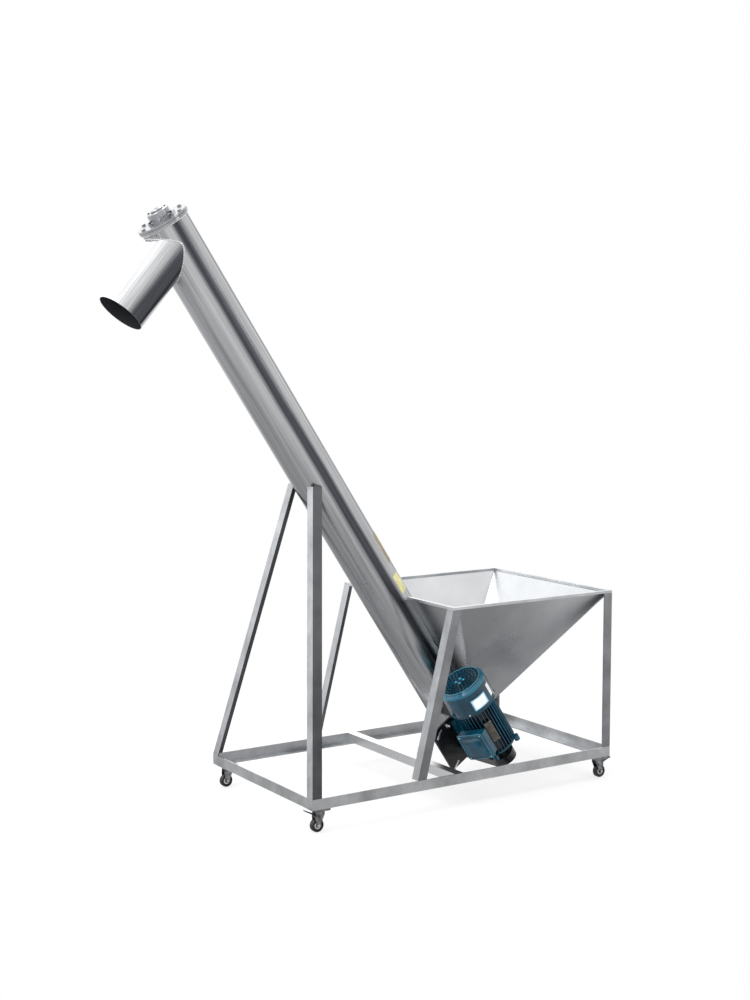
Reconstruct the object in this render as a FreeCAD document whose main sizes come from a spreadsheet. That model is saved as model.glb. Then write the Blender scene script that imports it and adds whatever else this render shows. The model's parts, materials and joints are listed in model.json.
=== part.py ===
import FreeCAD, Part
import math
import os

import Sketcher

# Inclined screw feeder on a wheeled angle frame, in millimetres, +Z up.
# The origin lies on the floor, under the middle of the overall outline.

SIZES = {
    # Frame of equal angle
    "frame_length": 1400,
    "frame_width": 770,
    "angle_leg": 40,
    "angle_wall": 4,
    "cross_member_place": 630,
    # Casters
    "wheel_radius": 25,
    "wheel_width": 21,
    "wheel_bore_gap": 0.05,
    "caster_rise": 84,
    "caster_inset_left": 46,
    "caster_inset_right": 34,
    "caster_inset_side": 35,
    "caster_trail": 8,
    "caster_plate_side": 64,
    "caster_plate_wall": 3,
    "caster_pad_wall": 6,
    "swivel_race_radius": 20,
    "swivel_race_rise": 5,
    "swivel_gap": 0.3,
    "kingpin_radius": 6,
    "kingpin_head_radius": 9,
    "kingpin_head_wall": 3,
    "fork_web_wall": 5,
    "fork_wall": 2.5,
    "fork_side_gap": 1.2,
    "axle_radius": 4,
    "axle_head_radius": 6.5,
    "axle_head_wall": 2.5,
    "pedal_pivot_place": 14,
    "pedal_pivot_rise": 61,
    "pedal_pin_radius": 2.5,
    "pedal_reach": 50,
    "pedal_wall": 4,
    # Hopper
    "hopper_height": 638,
    "hopper_left": 616,
    "rim_width": 16,
    "rim_rise": 10,
    "rim_seat": 14,
    "hopper_left_inset": 30,
    "hopper_leg_foot": 457,
    "sheet_wall": 2,
    # Conveying tube
    "tube_angle": 56.5,
    "tube_foot_place": 933,
    "tube_foot_rise": 209,
    "tube_length": 2357,
    "tube_radius": 90,
    "tube_wall": 3,
    "saddle_depth": 44,
    "inlet_toe": 26,
    "inlet_length": 420,
    "weld_gap": 0.2,
    "tube_leg_top_place": 182,
    "tube_leg_top_inset": 294,
    "tube_leg_top_rise": 1092,
    # Spout
    "spout_step": 2,
    "spout_wall": 2,
    "spout_place": 2281,
    "spout_angle": 16.5,
    "spout_reach": 332,
    # End plates and bearings
    "flange_rise": 7,
    "flange_bore_depth": 22,
    "flange_wall": 10,
    "cover_wall": 8,
    "cover_bolt_inset": 7,
    "cover_bolt_count": 6,
    "bolt_radius": 4,
    "bolt_head_radius": 7.5,
    "bolt_head_rise": 5.5,
    "bearing_radius": 31,
    "bearing_width": 16,
    "running_gap": 0.05,
    "housing_radius": 42,
    "housing_rise": 34,
    "housing_lip_bore": 24,
    "housing_cap_wall": 6,
    # Auger
    "shaft_radius": 24,
    "journal_radius": 15,
    "auger_clearance": 5,
    "auger_pitch": 150,
    "auger_wall": 4,
    "auger_start_gap": 3,
    "auger_end": 2260,
    "shaft_end_gap": 12,
    # Belt drive
    "motor_side_place": 275,
    "motor_drop": 34,
    "driven_pitch_radius": 72,
    "drive_pitch_radius": 36,
    "belt_wall": 6,
    "belt_width": 18,
    "belt_gap": 0.3,
    "pulley_flange_wall": 3,
    "pulley_flange_rise": 4,
    "pulley_start": 54,
    "guard_start": 48,
    "guard_radius_driven": 96,
    "guard_radius_drive": 50,
    "guard_depth": 34,
    "guard_wall": 1.5,
    "guard_back_wall": 2,
    "guard_play": 0.5,
    # Motor
    "motor_start": 18,
    "motor_body_radius": 70,
    "motor_body_wall": 7,
    "motor_body_length": 219,
    "motor_fin_rise": 13,
    "motor_fin_wall": 2.4,
    "motor_fin_count": 36,
    "shield_radius": 80,
    "drive_shield_wall": 22,
    "rear_shield_wall": 14,
    "motor_shaft_radius": 12,
    "rotor_radius": 40,
    "rotor_length": 110,
    "cowl_radius": 95,
    "cowl_length": 112,
    "cowl_wall": 1.5,
    "cowl_round": 12,
    "cowl_hole_radius": 4,
    "fan_radius": 76,
    "fan_depth": 26,
    "fan_blade_wall": 3,
    "fan_blade_count": 7,
    "foot_plane": 90,
    "foot_wall": 10,
    "foot_width": 36,
    "foot_spread": 140,
    "foot_length": 150,
    "foot_hole_spread": 125,
    "box_turn": 26,
    "box_length": 108,
    "box_width": 112,
    "box_rise": 28,
    "box_lid_rise": 10,
    "box_lid_overhang": 4,
    "box_wall": 4,
    "box_place": 52,
    "inlet_hole_radius": 8,
    "gland_bore_radius": 4.5,
    "bracket_wall": 8,
    "bracket_reach_near": 181,
    "bracket_reach_far": 88,
    "bracket_overhang": 20,
    "rib_wall": 8,
    "rib_depth": 96,
}

document = FreeCAD.newDocument("ScrewFeeder")
sheet = document.addObject("Spreadsheet::Sheet", "Sizes")
nodes = {}


class Size:
    """A number together with the spreadsheet expression that gives it."""

    def __init__(self, value, text):
        self.value = value
        self.text = text

    def __add__(self, other):
        other = as_size(other)
        return Size(self.value + other.value, f"({self.text} + {other.text})")

    def __radd__(self, other):
        return as_size(other) + self

    def __sub__(self, other):
        other = as_size(other)
        return Size(self.value - other.value, f"({self.text} - {other.text})")

    def __rsub__(self, other):
        return as_size(other) - self

    def __mul__(self, other):
        other = as_size(other)
        return Size(self.value * other.value, f"({self.text} * {other.text})")

    def __rmul__(self, other):
        return as_size(other) * self

    def __truediv__(self, other):
        other = as_size(other)
        return Size(self.value / other.value, f"({self.text} / {other.text})")

    def __neg__(self):
        return Size(-self.value, f"(0 - {self.text})")


def as_size(number):
    return number if isinstance(number, Size) else Size(number, f"{number!r}")


def sine(angle):
    return Size(math.sin(math.radians(angle.value)), f"sin({angle.text} * 1 deg)")


def cosine(angle):
    return Size(math.cos(math.radians(angle.value)), f"cos({angle.text} * 1 deg)")


def root(number):
    return Size(math.sqrt(number.value), f"sqrt({number.text})")


def fill_sheet():
    for row, (alias, number) in enumerate(SIZES.items(), start=1):
        sheet.set(f"A{row}", alias)
        sheet.set(f"B{row}", str(number))
        sheet.setAlias(f"B{row}", alias)
    document.recompute()


def size(alias):
    return Size(float(sheet.get(alias)), f"Sizes.{alias}")


def number_of(alias):
    return int(sheet.get(alias))


def vector(x, y, z):
    return FreeCAD.Vector(as_size(x).value, as_size(y).value, as_size(z).value)


def at(x=0, y=0, z=0, turn=0, about=(0, 0, 1)):
    """A placement: a shift, after a turn in degrees about an axis."""
    return FreeCAD.Placement(vector(x, y, z), FreeCAD.Rotation(FreeCAD.Vector(*about), turn))


def bind(item, name, amount):
    """Sets a size of a feature and ties it to the spreadsheet."""
    amount = as_size(amount)
    setattr(item, name, amount.value)
    if "Sizes." in amount.text:
        item.setExpression(name, amount.text)


# Sketches and features of a body


def new_body(label):
    body = document.addObject("PartDesign::Body", label)
    body.Label = label
    return body


def origin_plane(body, role):
    return next(item for item in body.Origin.OriginFeatures if item.Role == role)


def new_sketch(body, role, lift=0):
    """A sketch on a plane of the body's origin, lifted along the plane's normal."""
    sketch = body.newObject("Sketcher::SketchObject", f"{body.Name}_sketch")
    sketch.AttachmentSupport = [(origin_plane(body, role), "")]
    sketch.MapMode = "FlatFace"
    lift = as_size(lift)
    sketch.AttachmentOffset = at(0, 0, lift)
    if "Sizes." in lift.text:
        sketch.setExpression("AttachmentOffset.Base.z", lift.text)
    return sketch


def fix_point(sketch, curve, end, x, y):
    """Holds one point of a curve at x and y from the sketch's origin."""
    for kind, amount, axis in (("DistanceX", as_size(x), -2), ("DistanceY", as_size(y), -1)):
        if abs(amount.value) < 1e-9:
            sketch.addConstraint(Sketcher.Constraint("PointOnObject", curve, end, axis))
            continue
        index = sketch.addConstraint(Sketcher.Constraint(kind, curve, end, amount.value))
        if "Sizes." in amount.text:
            sketch.setExpression(f"Constraints[{index}]", amount.text)


def polygon(sketch, points):
    first = sketch.GeometryCount
    places = [vector(x, y, 0) for x, y in points]
    for start, end in zip(places, places[1:] + places[:1]):
        sketch.addGeometry(Part.LineSegment(start, end), False)
    for step, (x, y) in enumerate(points):
        following = first + (step + 1) % len(points)
        sketch.addConstraint(Sketcher.Constraint("Coincident", first + step, 2, following, 1))
        fix_point(sketch, first + step, 1, x, y)


def circle(sketch, x, y, radius):
    radius = as_size(radius)
    index = sketch.addGeometry(Part.Circle(vector(x, y, 0), FreeCAD.Vector(0, 0, 1), radius.value), False)
    fix_point(sketch, index, 3, x, y)
    hold = sketch.addConstraint(Sketcher.Constraint("Radius", index, radius.value))
    if "Sizes." in radius.text:
        sketch.setExpression(f"Constraints[{hold}]", radius.text)


def pad(body, sketch, length, other_way=False, along=None):
    feature = body.newObject("PartDesign::Pad", f"{body.Name}_pad")
    feature.Profile = sketch
    feature.Reversed = other_way
    if along is not None:
        feature.UseCustomVector = True
        feature.Direction = along
        feature.AlongSketchNormal = True
    bind(feature, "Length", length)
    body.Tip = feature
    return feature


def pocket(body, sketch, other_way=False, depth=None):
    feature = body.newObject("PartDesign::Pocket", f"{body.Name}_pocket")
    feature.Profile = sketch
    feature.Reversed = other_way
    if depth is None:
        feature.Type = "ThroughAll"
    else:
        bind(feature, "Length", depth)
    body.Tip = feature
    return feature


def repeat_round(body, feature, count):
    """Repeats a feature evenly round the body's Z axis."""
    pattern = body.newObject("PartDesign::PolarPattern", f"{body.Name}_pattern")
    pattern.Originals = [feature]
    pattern.Axis = (origin_plane(body, "Z_Axis"), [""])
    pattern.Angle = 360
    pattern.Occurrences = count
    body.Tip = pattern
    return pattern


def turned_body(label, points, placement=None):
    """A body turned about its Z axis from an outline of (radius, height) points."""
    body = new_body(label)
    sketch = new_sketch(body, "XZ_Plane")
    polygon(sketch, points)
    feature = body.newObject("PartDesign::Revolution", f"{body.Name}_turn")
    feature.Profile = sketch
    feature.ReferenceAxis = (sketch, ["V_Axis"])
    feature.Angle = 360
    body.Tip = feature
    if placement is not None:
        body.Placement = placement
    return body


def ring_points(outer, inner, low, high):
    return [(inner, low), (outer, low), (outer, high), (inner, high)]


# Primitives and booleans


def box_piece(name, length, width, height, placement):
    item = document.addObject("Part::Box", name)
    bind(item, "Length", length)
    bind(item, "Width", width)
    bind(item, "Height", height)
    item.Placement = placement
    return item


def cylinder_piece(name, radius, height, placement):
    item = document.addObject("Part::Cylinder", name)
    bind(item, "Radius", radius)
    bind(item, "Height", height)
    item.Placement = placement
    return item


def cut(label, base, tool):
    item = document.addObject("Part::Cut", label)
    item.Base = base
    item.Tool = tool
    item.Label = label
    return item


def fuse(label, items):
    item = document.addObject("Part::MultiFuse", label)
    item.Shapes = items
    item.Refine = True
    item.Label = label
    return item


def compound(label, items):
    """One node that holds separate solids."""
    item = document.addObject("Part::Compound", label)
    item.Links = items
    item.Label = label
    return item


def group_of(label, source, placements):
    """Separate solids of one shape, one for each placement, in one node."""
    document.recompute()
    item = document.addObject("Part::Feature", label)
    item.Shape = Part.makeCompound([source.Shape.transformed(place.toMatrix(), True) for place in placements])
    item.Label = label
    return item


def keep(item, name=None):
    """Marks an object as a sub-part that gets its own file."""
    nodes[name or item.Label] = item
    return item


fill_sheet()

# Levels and places that several pieces share

frame_length = size("frame_length")
frame_width = size("frame_width")
half_width = frame_width / 2
angle_leg = size("angle_leg")
angle_wall = size("angle_wall")
rail_bottom = size("caster_rise") + size("caster_pad_wall")
base_top = rail_bottom + angle_leg
rim_top = base_top + size("hopper_height")
rim_bottom = rim_top - size("rim_rise")
slope = size("tube_angle")
tube_radius = size("tube_radius")
tube_bore = tube_radius - size("tube_wall")
spout_radius = tube_radius - size("spout_step")
flange_radius = tube_radius + size("flange_rise")
bolt_circle = tube_radius - size("cover_bolt_inset")
auger_radius = tube_bore - size("auger_clearance")
saddle_offset = tube_radius - size("saddle_depth")
spout_turn = slope + size("spout_angle") - 90
spout_low_reach = size("spout_reach") * sine(90 - spout_turn) + spout_radius * sine(spout_turn)
spout_cross_place = size("tube_foot_place") - size("spout_place") * cosine(slope)
pedal_overhang = size("pedal_pivot_place") + size("pedal_reach") - size("caster_inset_right")


def spout_direction():
    """The way the spout points, in the tube's own frame of offset, side and length."""
    lean = math.radians(size("spout_angle").value)
    return FreeCAD.Vector(-math.cos(lean), 0, -math.sin(lean))


def find_frame_left():
    """Puts the middle of the outline at X = 0: spout mouth on the left, brake pedal on the right."""
    tilt = FreeCAD.Rotation(FreeCAD.Vector(0, 1, 0), slope.value - 90)
    direction = tilt.multVec(spout_direction())
    edge_drop = spout_radius.value * abs(direction.z)
    mouth = spout_cross_place.value + size("spout_reach").value * direction.x - edge_drop
    return -(mouth + frame_length.value + pedal_overhang.value) / 2


frame_left = find_frame_left()
foot_x = size("tube_foot_place") + frame_left
foot_z = size("tube_foot_rise")
tube_frame = at(foot_x, 0, foot_z, slope.value - 90, (0, 1, 0))
motor_axis = at(-size("motor_drop"), -size("motor_side_place"), 0)
motor_frame = tube_frame * motor_axis * at(0, 0, -size("motor_start"))
drive_span = root(size("motor_side_place") * size("motor_side_place") + size("motor_drop") * size("motor_drop"))
drive_turn = math.degrees(math.atan2(-size("motor_side_place").value, -size("motor_drop").value))
seam_height = saddle_offset - size("sheet_wall")
seam_side = root(tube_radius * tube_radius - seam_height * seam_height) + size("weld_gap")


# Frame


def mitred_bar(label, section, width, length, rise, placement):
    """A bar along +X with both ends mitred at 45 degrees, its outer face at y = 0."""
    body = new_body(label)
    profile = new_sketch(body, "YZ_Plane")
    polygon(profile, section)
    pad(body, profile, length)
    ends = new_sketch(body, "XY_Plane")
    polygon(ends, [(0, 0), (0, width + 1), (width + 1, width + 1)])
    polygon(ends, [(length, 0), (length, width + 1), (length - width - 1, width + 1)])
    pocket(body, ends, other_way=True)
    body.Placement = placement
    return body


def square_of_bars(names, section, width, length, depth, rise, low, left):
    """Four mitred bars round a rectangle, in the order front, right, back, left."""
    right = as_size(left) + length
    places = [
        at(left, -depth / 2, low),
        at(right, -depth / 2, low, 90),
        at(right, depth / 2, low, 180),
        at(left, depth / 2, low, 270),
    ]
    for name, span, place in zip(names, (length, depth, length, depth), places):
        keep(mitred_bar(name, section, width, span, rise, place))


def build_base():
    section = [
        (0, 0),
        (angle_leg, 0),
        (angle_leg, angle_wall),
        (angle_wall, angle_wall),
        (angle_wall, angle_leg),
        (0, angle_leg),
    ]
    names = ["base_rail_front", "base_rail_right", "base_rail_back", "base_rail_left"]
    square_of_bars(names, section, angle_leg, frame_length, frame_width, angle_leg, rail_bottom, frame_left)


def build_cross_member():
    """An angle across the base, flange on top, standing on the rails' lower flanges."""
    body = new_body("cross_member")
    sketch = new_sketch(body, "XZ_Plane")
    rise = angle_leg - angle_wall
    polygon(sketch, [
        (0, 0),
        (angle_wall, 0),
        (angle_wall, rise - angle_wall),
        (angle_leg, rise - angle_wall),
        (angle_leg, rise),
        (0, rise),
    ])
    pad(body, sketch, frame_width - 2 * angle_wall)
    left = size("cross_member_place") + frame_left
    body.Placement = at(left, half_width - angle_wall, rail_bottom + angle_wall)
    keep(body)


def hopper_leg(label, foot, head, inward, front):
    """An angle that leans in the plane of the side, from the base to the rim."""
    body = new_body(label)
    low = base_top
    high = rim_bottom
    for reach, depth in ((angle_leg, angle_wall), (angle_wall, angle_leg)):
        sketch = new_sketch(body, "XZ_Plane")
        width = reach if inward > 0 else -reach
        polygon(sketch, [(foot, low), (foot + width, low), (head + width, high), (head, high)])
        pad(body, sketch, depth, other_way=front)
    body.Placement = at(frame_left, -half_width if front else half_width, 0)
    keep(body)


def build_hopper_legs():
    for side, front in (("front", True), ("back", False)):
        hopper_leg(f"hopper_leg_{side}_left", size("hopper_leg_foot"), size("hopper_left"), 1, front)
        hopper_leg(f"hopper_leg_{side}_right", frame_length, frame_length, -1, front)


def tube_envelope(name):
    """The space the tube takes with a welding gap round it, long enough to cut past both ends."""
    over = tube_radius
    place = tube_frame * at(0, 0, -over)
    return cylinder_piece(name, tube_radius + size("weld_gap"), size("tube_length") + 2 * over, place)


def tube_leg(label, side):
    """An angle from the corner of the base up to the tube, coped to the tube."""
    body = new_body(f"{label}_bar")
    sketch = new_sketch(body, "XY_Plane")
    corner = [(0, 0), (angle_leg, 0), (angle_leg, angle_wall), (angle_wall, angle_wall),
              (angle_wall, angle_leg), (0, angle_leg)]
    polygon(sketch, [(x, y if side < 0 else -as_size(y)) for x, y in corner])
    lean = vector(size("tube_leg_top_place"), -side * size("tube_leg_top_inset"), size("tube_leg_top_rise"))
    pad(body, sketch, size("tube_leg_top_rise"), along=lean)
    body.Placement = at(frame_left, side * half_width, base_top)
    keep(cut(label, body, tube_envelope(f"{label}_cope")))


# Hopper


def build_rim():
    width = size("rim_width")
    rise = size("rim_rise")
    length = frame_length - size("hopper_left")
    left = size("hopper_left") + frame_left
    section = [(0, 0), (width, 0), (width, rise), (0, rise)]
    names = ["rim_front", "rim_right", "rim_back", "rim_left_bar"]
    square_of_bars(names, section, width, length, frame_width, rise, rim_bottom, left)
    keep(cut("rim_left", nodes.pop("rim_left_bar"), tube_envelope("rim_passage")))


def hopper_points():
    """Inner corners of the pan: at the rim, and where the walls meet the tube."""
    offset = saddle_offset
    toe = size("inlet_toe")
    seam_rise = (rim_bottom - foot_z - offset * cosine(slope)) / sine(slope)
    return {
        "left": size("hopper_left") + size("hopper_left_inset") + frame_left,
        "right": frame_length - size("rim_seat") + frame_left,
        "side": half_width - size("rim_seat"),
        "seam_x": foot_x + offset * sine(slope) - seam_rise * cosine(slope),
        "toe_x": foot_x + offset * sine(slope) - toe * cosine(slope),
        "toe_z": foot_z + offset * cosine(slope) + toe * sine(slope),
    }


def plate_frame(start, along, across):
    """A placement whose X runs from start along a line, with Y towards a third point in the plane."""
    x_axis = (along - start).normalize()
    z_axis = x_axis.cross(across - start).normalize()
    return FreeCAD.Placement(start, FreeCAD.Rotation(x_axis, z_axis.cross(x_axis), z_axis, "XYZ"))


def sheet_panel(label, corners, outward):
    """A flat sheet through three or four corners in one plane, its wall on the outward side."""
    frame = plate_frame(corners[0], corners[1], corners[2])
    inverse = frame.inverse()
    flat = [inverse.multVec(corner) for corner in corners]
    body = new_body(label)
    sketch = new_sketch(body, "XY_Plane")
    polygon(sketch, [(point.x, point.y) for point in flat])
    normal = frame.Rotation.multVec(FreeCAD.Vector(0, 0, 1))
    pad(body, sketch, size("sheet_wall"), other_way=normal.dot(outward) < 0)
    body.Placement = frame
    return body


def build_hopper_panels():
    place = hopper_points()
    sides = []
    for name, side in (("front", -1), ("back", 1)):
        left = vector(place["left"], side * place["side"], rim_bottom)
        right = vector(place["right"], side * place["side"], rim_bottom)
        seam = vector(place["seam_x"], side * seam_side, rim_bottom)
        toe = vector(place["toe_x"], side * seam_side, place["toe_z"])
        keep(sheet_panel(f"hopper_panel_{name}", [left, right, toe], FreeCAD.Vector(0, side, 0)))
        sides.append(sheet_panel(f"hopper_panel_left_{name}", [seam, left, toe], FreeCAD.Vector(-1, 0, 0)))
        if side < 0:
            lower = [right, toe]
        else:
            lower += [toe, right]
    keep(sheet_panel("hopper_panel_right", lower, FreeCAD.Vector(1, 0, 0)))
    keep(compound("hopper_panel_left", sides))


# Conveying tube and spout


def build_tube():
    offset = saddle_offset
    wall = size("sheet_wall")
    toe = size("inlet_toe")
    pipe = ring_points(tube_radius, tube_bore, 0, size("tube_length"))
    body = turned_body("conveyor_tube_shell", pipe, tube_frame)
    opening = new_sketch(body, "XZ_Plane")
    above = tube_radius + wall
    lean = toe_lean()
    low = toe - wall * (lean + root(1 + lean * lean)) - size("weld_gap")
    polygon(opening, [
        (offset - wall, low),
        (above, low + (above - offset + wall) * lean),
        (above, toe + size("inlet_length")),
        (offset - wall, toe + size("inlet_length")),
    ])
    first = pocket(body, opening)
    first.Midplane = True
    inner = spout_radius - size("spout_wall")
    bore = cylinder_piece("spout_passage", inner, size("spout_reach"), spout_frame())
    keep(cut("conveyor_tube", body, bore))


def toe_lean():
    """How far the right wall of the pan runs up the tube for each unit away from it."""
    place = hopper_points()
    run = place["right"] - place["toe_x"]
    rise = rim_bottom - place["toe_z"]
    outward = run * sine(slope) + rise * cosine(slope)
    upward = rise * sine(slope) - run * cosine(slope)
    return upward / outward


def spout_frame():
    """A placement at the tube's axis with Z along the spout."""
    turn = FreeCAD.Rotation(FreeCAD.Vector(0, 0, 1), spout_direction())
    return tube_frame * FreeCAD.Placement(vector(0, 0, size("spout_place")), turn)


def build_spout():
    ring = ring_points(spout_radius, spout_radius - size("spout_wall"), 0, size("spout_reach"))
    pipe = turned_body("spout_pipe", ring, spout_frame())
    keep(cut("discharge_spout", pipe, tube_envelope("spout_cope")))


def end_flange(label, low):
    bore = tube_radius - size("flange_bore_depth")
    body = turned_body(label, ring_points(flange_radius, bore, 0, size("flange_wall")))
    drill_bolt_circle(body)
    body.Placement = tube_frame * at(0, 0, low)
    keep(body)


def drill_bolt_circle(body):
    sketch = new_sketch(body, "XY_Plane")
    circle(sketch, bolt_circle, 0, size("bolt_radius"))
    repeat_round(body, pocket(body, sketch, other_way=True), number_of("cover_bolt_count"))


def end_plate(label, low):
    """The disc that closes an end of the tube, with a hole for the shaft."""
    hole = size("housing_lip_bore")
    body = turned_body(label, ring_points(flange_radius, hole, 0, size("cover_wall")))
    drill_bolt_circle(body)
    body.Placement = tube_frame * at(0, 0, low)
    keep(body)


def cover_bolts(label, head_level, shank_down):
    """Hexagon bolts round an end plate, from the head's seat through the plate and flange."""
    length = size("cover_wall") + size("flange_wall") - 1
    radius = size("bolt_radius") - size("running_gap")
    shank = cylinder_piece(f"{label}_shank", radius, length, at(0, 0, -length))
    head = document.addObject("Part::Prism", f"{label}_head")
    head.Polygon = 6
    bind(head, "Circumradius", size("bolt_head_radius"))
    bind(head, "Height", size("bolt_head_rise"))
    one = fuse(f"{label}_one", [shank, head])
    flip = at() if shank_down else at(turn=180, about=(1, 0, 0))
    count = number_of("cover_bolt_count")
    places = []
    for step in range(count):
        around = at(turn=360 * step / count) * at(bolt_circle, 0, 0)
        places.append(tube_frame * at(0, 0, head_level) * around * flip)
    keep(group_of(label, one, places))


def bearing_unit(prefix, level, upward):
    """A flanged housing on an end plate with its bearing, facing away from the tube."""
    outward = at() if upward else at(turn=180, about=(1, 0, 0))
    place = tube_frame * at(0, 0, level) * outward
    rise = size("housing_rise")
    cap = size("housing_cap_wall")
    pocket_top = rise - cap
    radius = size("housing_radius")
    bore = size("bearing_radius") + size("running_gap")
    lip = size("housing_lip_bore")
    top_lip = lip if not upward else as_size(0)
    points = [
        (lip, 0),
        (radius + 12, 0),
        (radius + 12, 8),
        (radius, 10),
        (radius, rise - 3),
        (radius - 3, rise),
        (top_lip, rise),
        (top_lip, pocket_top),
        (bore, pocket_top),
        (bore, pocket_top - size("bearing_width")),
        (lip, pocket_top - size("bearing_width")),
    ]
    keep(turned_body(f"{prefix}_bearing_housing", points, place))
    inner = size("journal_radius") + size("running_gap")
    low = pocket_top - size("bearing_width") + size("running_gap")
    high = pocket_top - size("running_gap")
    keep(turned_body(f"{prefix}_bearing", ring_points(size("bearing_radius"), inner, low, high), place))


# Auger


def build_auger():
    journal = size("journal_radius")
    shaft = size("shaft_radius")
    chamfer = as_size(2)
    top_plate = size("tube_length") + size("flange_wall") + size("cover_wall")
    top = top_plate + size("housing_rise") - size("housing_cap_wall") - 2
    bottom = -(size("guard_start") + size("guard_depth") - size("shaft_end_gap"))
    shoulder_low = as_size(4)
    shoulder_high = size("tube_length") - 4
    keep(turned_body("auger_shaft", [
        (0, bottom),
        (journal - chamfer, bottom),
        (journal, bottom + chamfer),
        (journal, shoulder_low),
        (shaft, shoulder_low + 6),
        (shaft, shoulder_high - 6),
        (journal, shoulder_high),
        (journal, top - chamfer),
        (journal - chamfer, top),
        (0, top),
    ], tube_frame))
    build_flight()


def build_flight():
    """The screw blade: a flat bar section swept along a helix round the shaft."""
    inner = size("shaft_radius") + size("running_gap")
    outer = auger_radius
    wall = size("auger_wall")
    start = flight_start()
    length = size("auger_end") - start
    spine = document.addObject("Part::Helix", "flight_spine")
    bind(spine, "Pitch", size("auger_pitch"))
    bind(spine, "Height", length)
    bind(spine, "Radius", inner)
    section = document.addObject("Part::Feature", "flight_section")
    corners = [vector(inner, 0, 0), vector(outer, 0, 0), vector(outer, 0, wall), vector(inner, 0, wall)]
    section.Shape = Part.makePolygon(corners + corners[:1])
    document.recompute()
    blade = document.addObject("Part::Sweep", "auger_flight")
    blade.Sections = [section]
    blade.Spine = (spine, [f"Edge{n + 1}" for n in range(len(spine.Shape.Edges))])
    blade.Solid = True
    blade.Frenet = True
    blade.Label = "auger_flight"
    blade.Placement = tube_frame * at(0, 0, start)
    keep(blade)


def flight_start():
    """Where the blade begins: clear of the pan's right wall, which leans over the tube's lower end."""
    return size("inlet_toe") + (auger_radius - saddle_offset) * toe_lean() + size("auger_start_gap")


# Belt drive


def pulley(label, pitch_radius, bore, placement):
    """A flanged belt pulley, its tread under the belt's inner face."""
    tread = pitch_radius - size("belt_wall") / 2 - size("belt_gap")
    rim = pitch_radius + size("belt_wall") / 2 + size("pulley_flange_rise")
    flange = size("pulley_flange_wall")
    width = size("belt_width") + 2 * size("belt_gap")
    body = turned_body(label, [
        (bore, 0),
        (rim, 0),
        (rim, flange),
        (tread, flange),
        (tread, flange + width),
        (rim, flange + width),
        (rim, 2 * flange + width),
        (bore, 2 * flange + width),
    ], placement)
    keep(body)


def drive_places():
    """The drive's own frame: X from the auger's axis to the motor's, Z down the tube."""
    flip = at(turn=180, about=(1, 0, 0))
    return tube_frame * at(turn=drive_turn) * flip


def belt_loop(label, first, second, height, low):
    """The solid inside a belt line that runs round two circles."""
    lean = (first - second) / drive_span
    level = root(1 - lean * lean)
    body = new_body(label)
    sketch = new_sketch(body, "XY_Plane")
    polygon(sketch, [
        (first * lean, first * level),
        (drive_span + second * lean, second * level),
        (drive_span + second * lean, -(second * level)),
        (first * lean, -(first * level)),
    ])
    pad(body, sketch, height)
    body.Placement = at(0, 0, low)
    ends = [
        cylinder_piece(f"{label}_first", first, height, at(0, 0, low)),
        cylinder_piece(f"{label}_second", second, height, at(drive_span, 0, low)),
    ]
    return fuse(f"{label}_round", [body] + ends)


def build_drive():
    frame = drive_places()
    start = size("pulley_start")
    bore = size("journal_radius") + size("running_gap") / 2
    motor_bore = size("motor_shaft_radius") + size("running_gap") / 2
    driven = size("driven_pitch_radius")
    drive = size("drive_pitch_radius")
    half = size("belt_wall") / 2
    pulley("driven_pulley", driven, bore, frame * at(0, 0, start))
    pulley("drive_pulley", drive, motor_bore, frame * at(drive_span, 0, start))
    belt_low = start + size("pulley_flange_wall") + size("belt_gap")
    outer = belt_loop("belt_outer", driven + half, drive + half, size("belt_width"), belt_low)
    inner = belt_loop("belt_inner", driven - half, drive - half, size("belt_width"), belt_low)
    belt = cut("drive_belt", outer, inner)
    belt.Placement = frame
    keep(belt)
    build_guard(frame)


def build_guard(frame):
    """A sheet box over both pulleys, wider at the auger's, closed towards the motor by a back plate."""
    start = size("guard_start")
    wall = size("guard_wall")
    large = size("guard_radius_driven")
    small = size("guard_radius_drive")
    depth = size("guard_depth")
    back = size("guard_back_wall")
    shell = belt_loop("guard_shell", large, small, depth, start)
    hollow = belt_loop("guard_hollow", large - wall, small - wall, depth - wall, start)
    cover = cut("belt_guard", shell, hollow)
    cover.Placement = frame
    keep(cover)
    inset = wall + size("guard_play")
    plate = belt_loop("guard_plate_blank", large - inset, small - inset, back, start)
    auger_hole = cylinder_piece("guard_auger_hole", size("housing_radius") + size("guard_play"), back + 2,
                                at(0, 0, start - 1))
    motor_hole = cylinder_piece("guard_motor_hole", size("motor_shaft_radius") + 6, back + 2,
                                at(drive_span, 0, start - 1))
    back_plate = cut("guard_back_plate", plate, fuse("guard_holes", [auger_hole, motor_hole]))
    back_plate.Placement = frame
    keep(back_plate)


# Motor


def build_motor():
    build_motor_body()
    build_motor_shields()
    build_rotor()
    build_cowl()
    build_fan()
    build_terminal_box()
    build_bracket()


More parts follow.
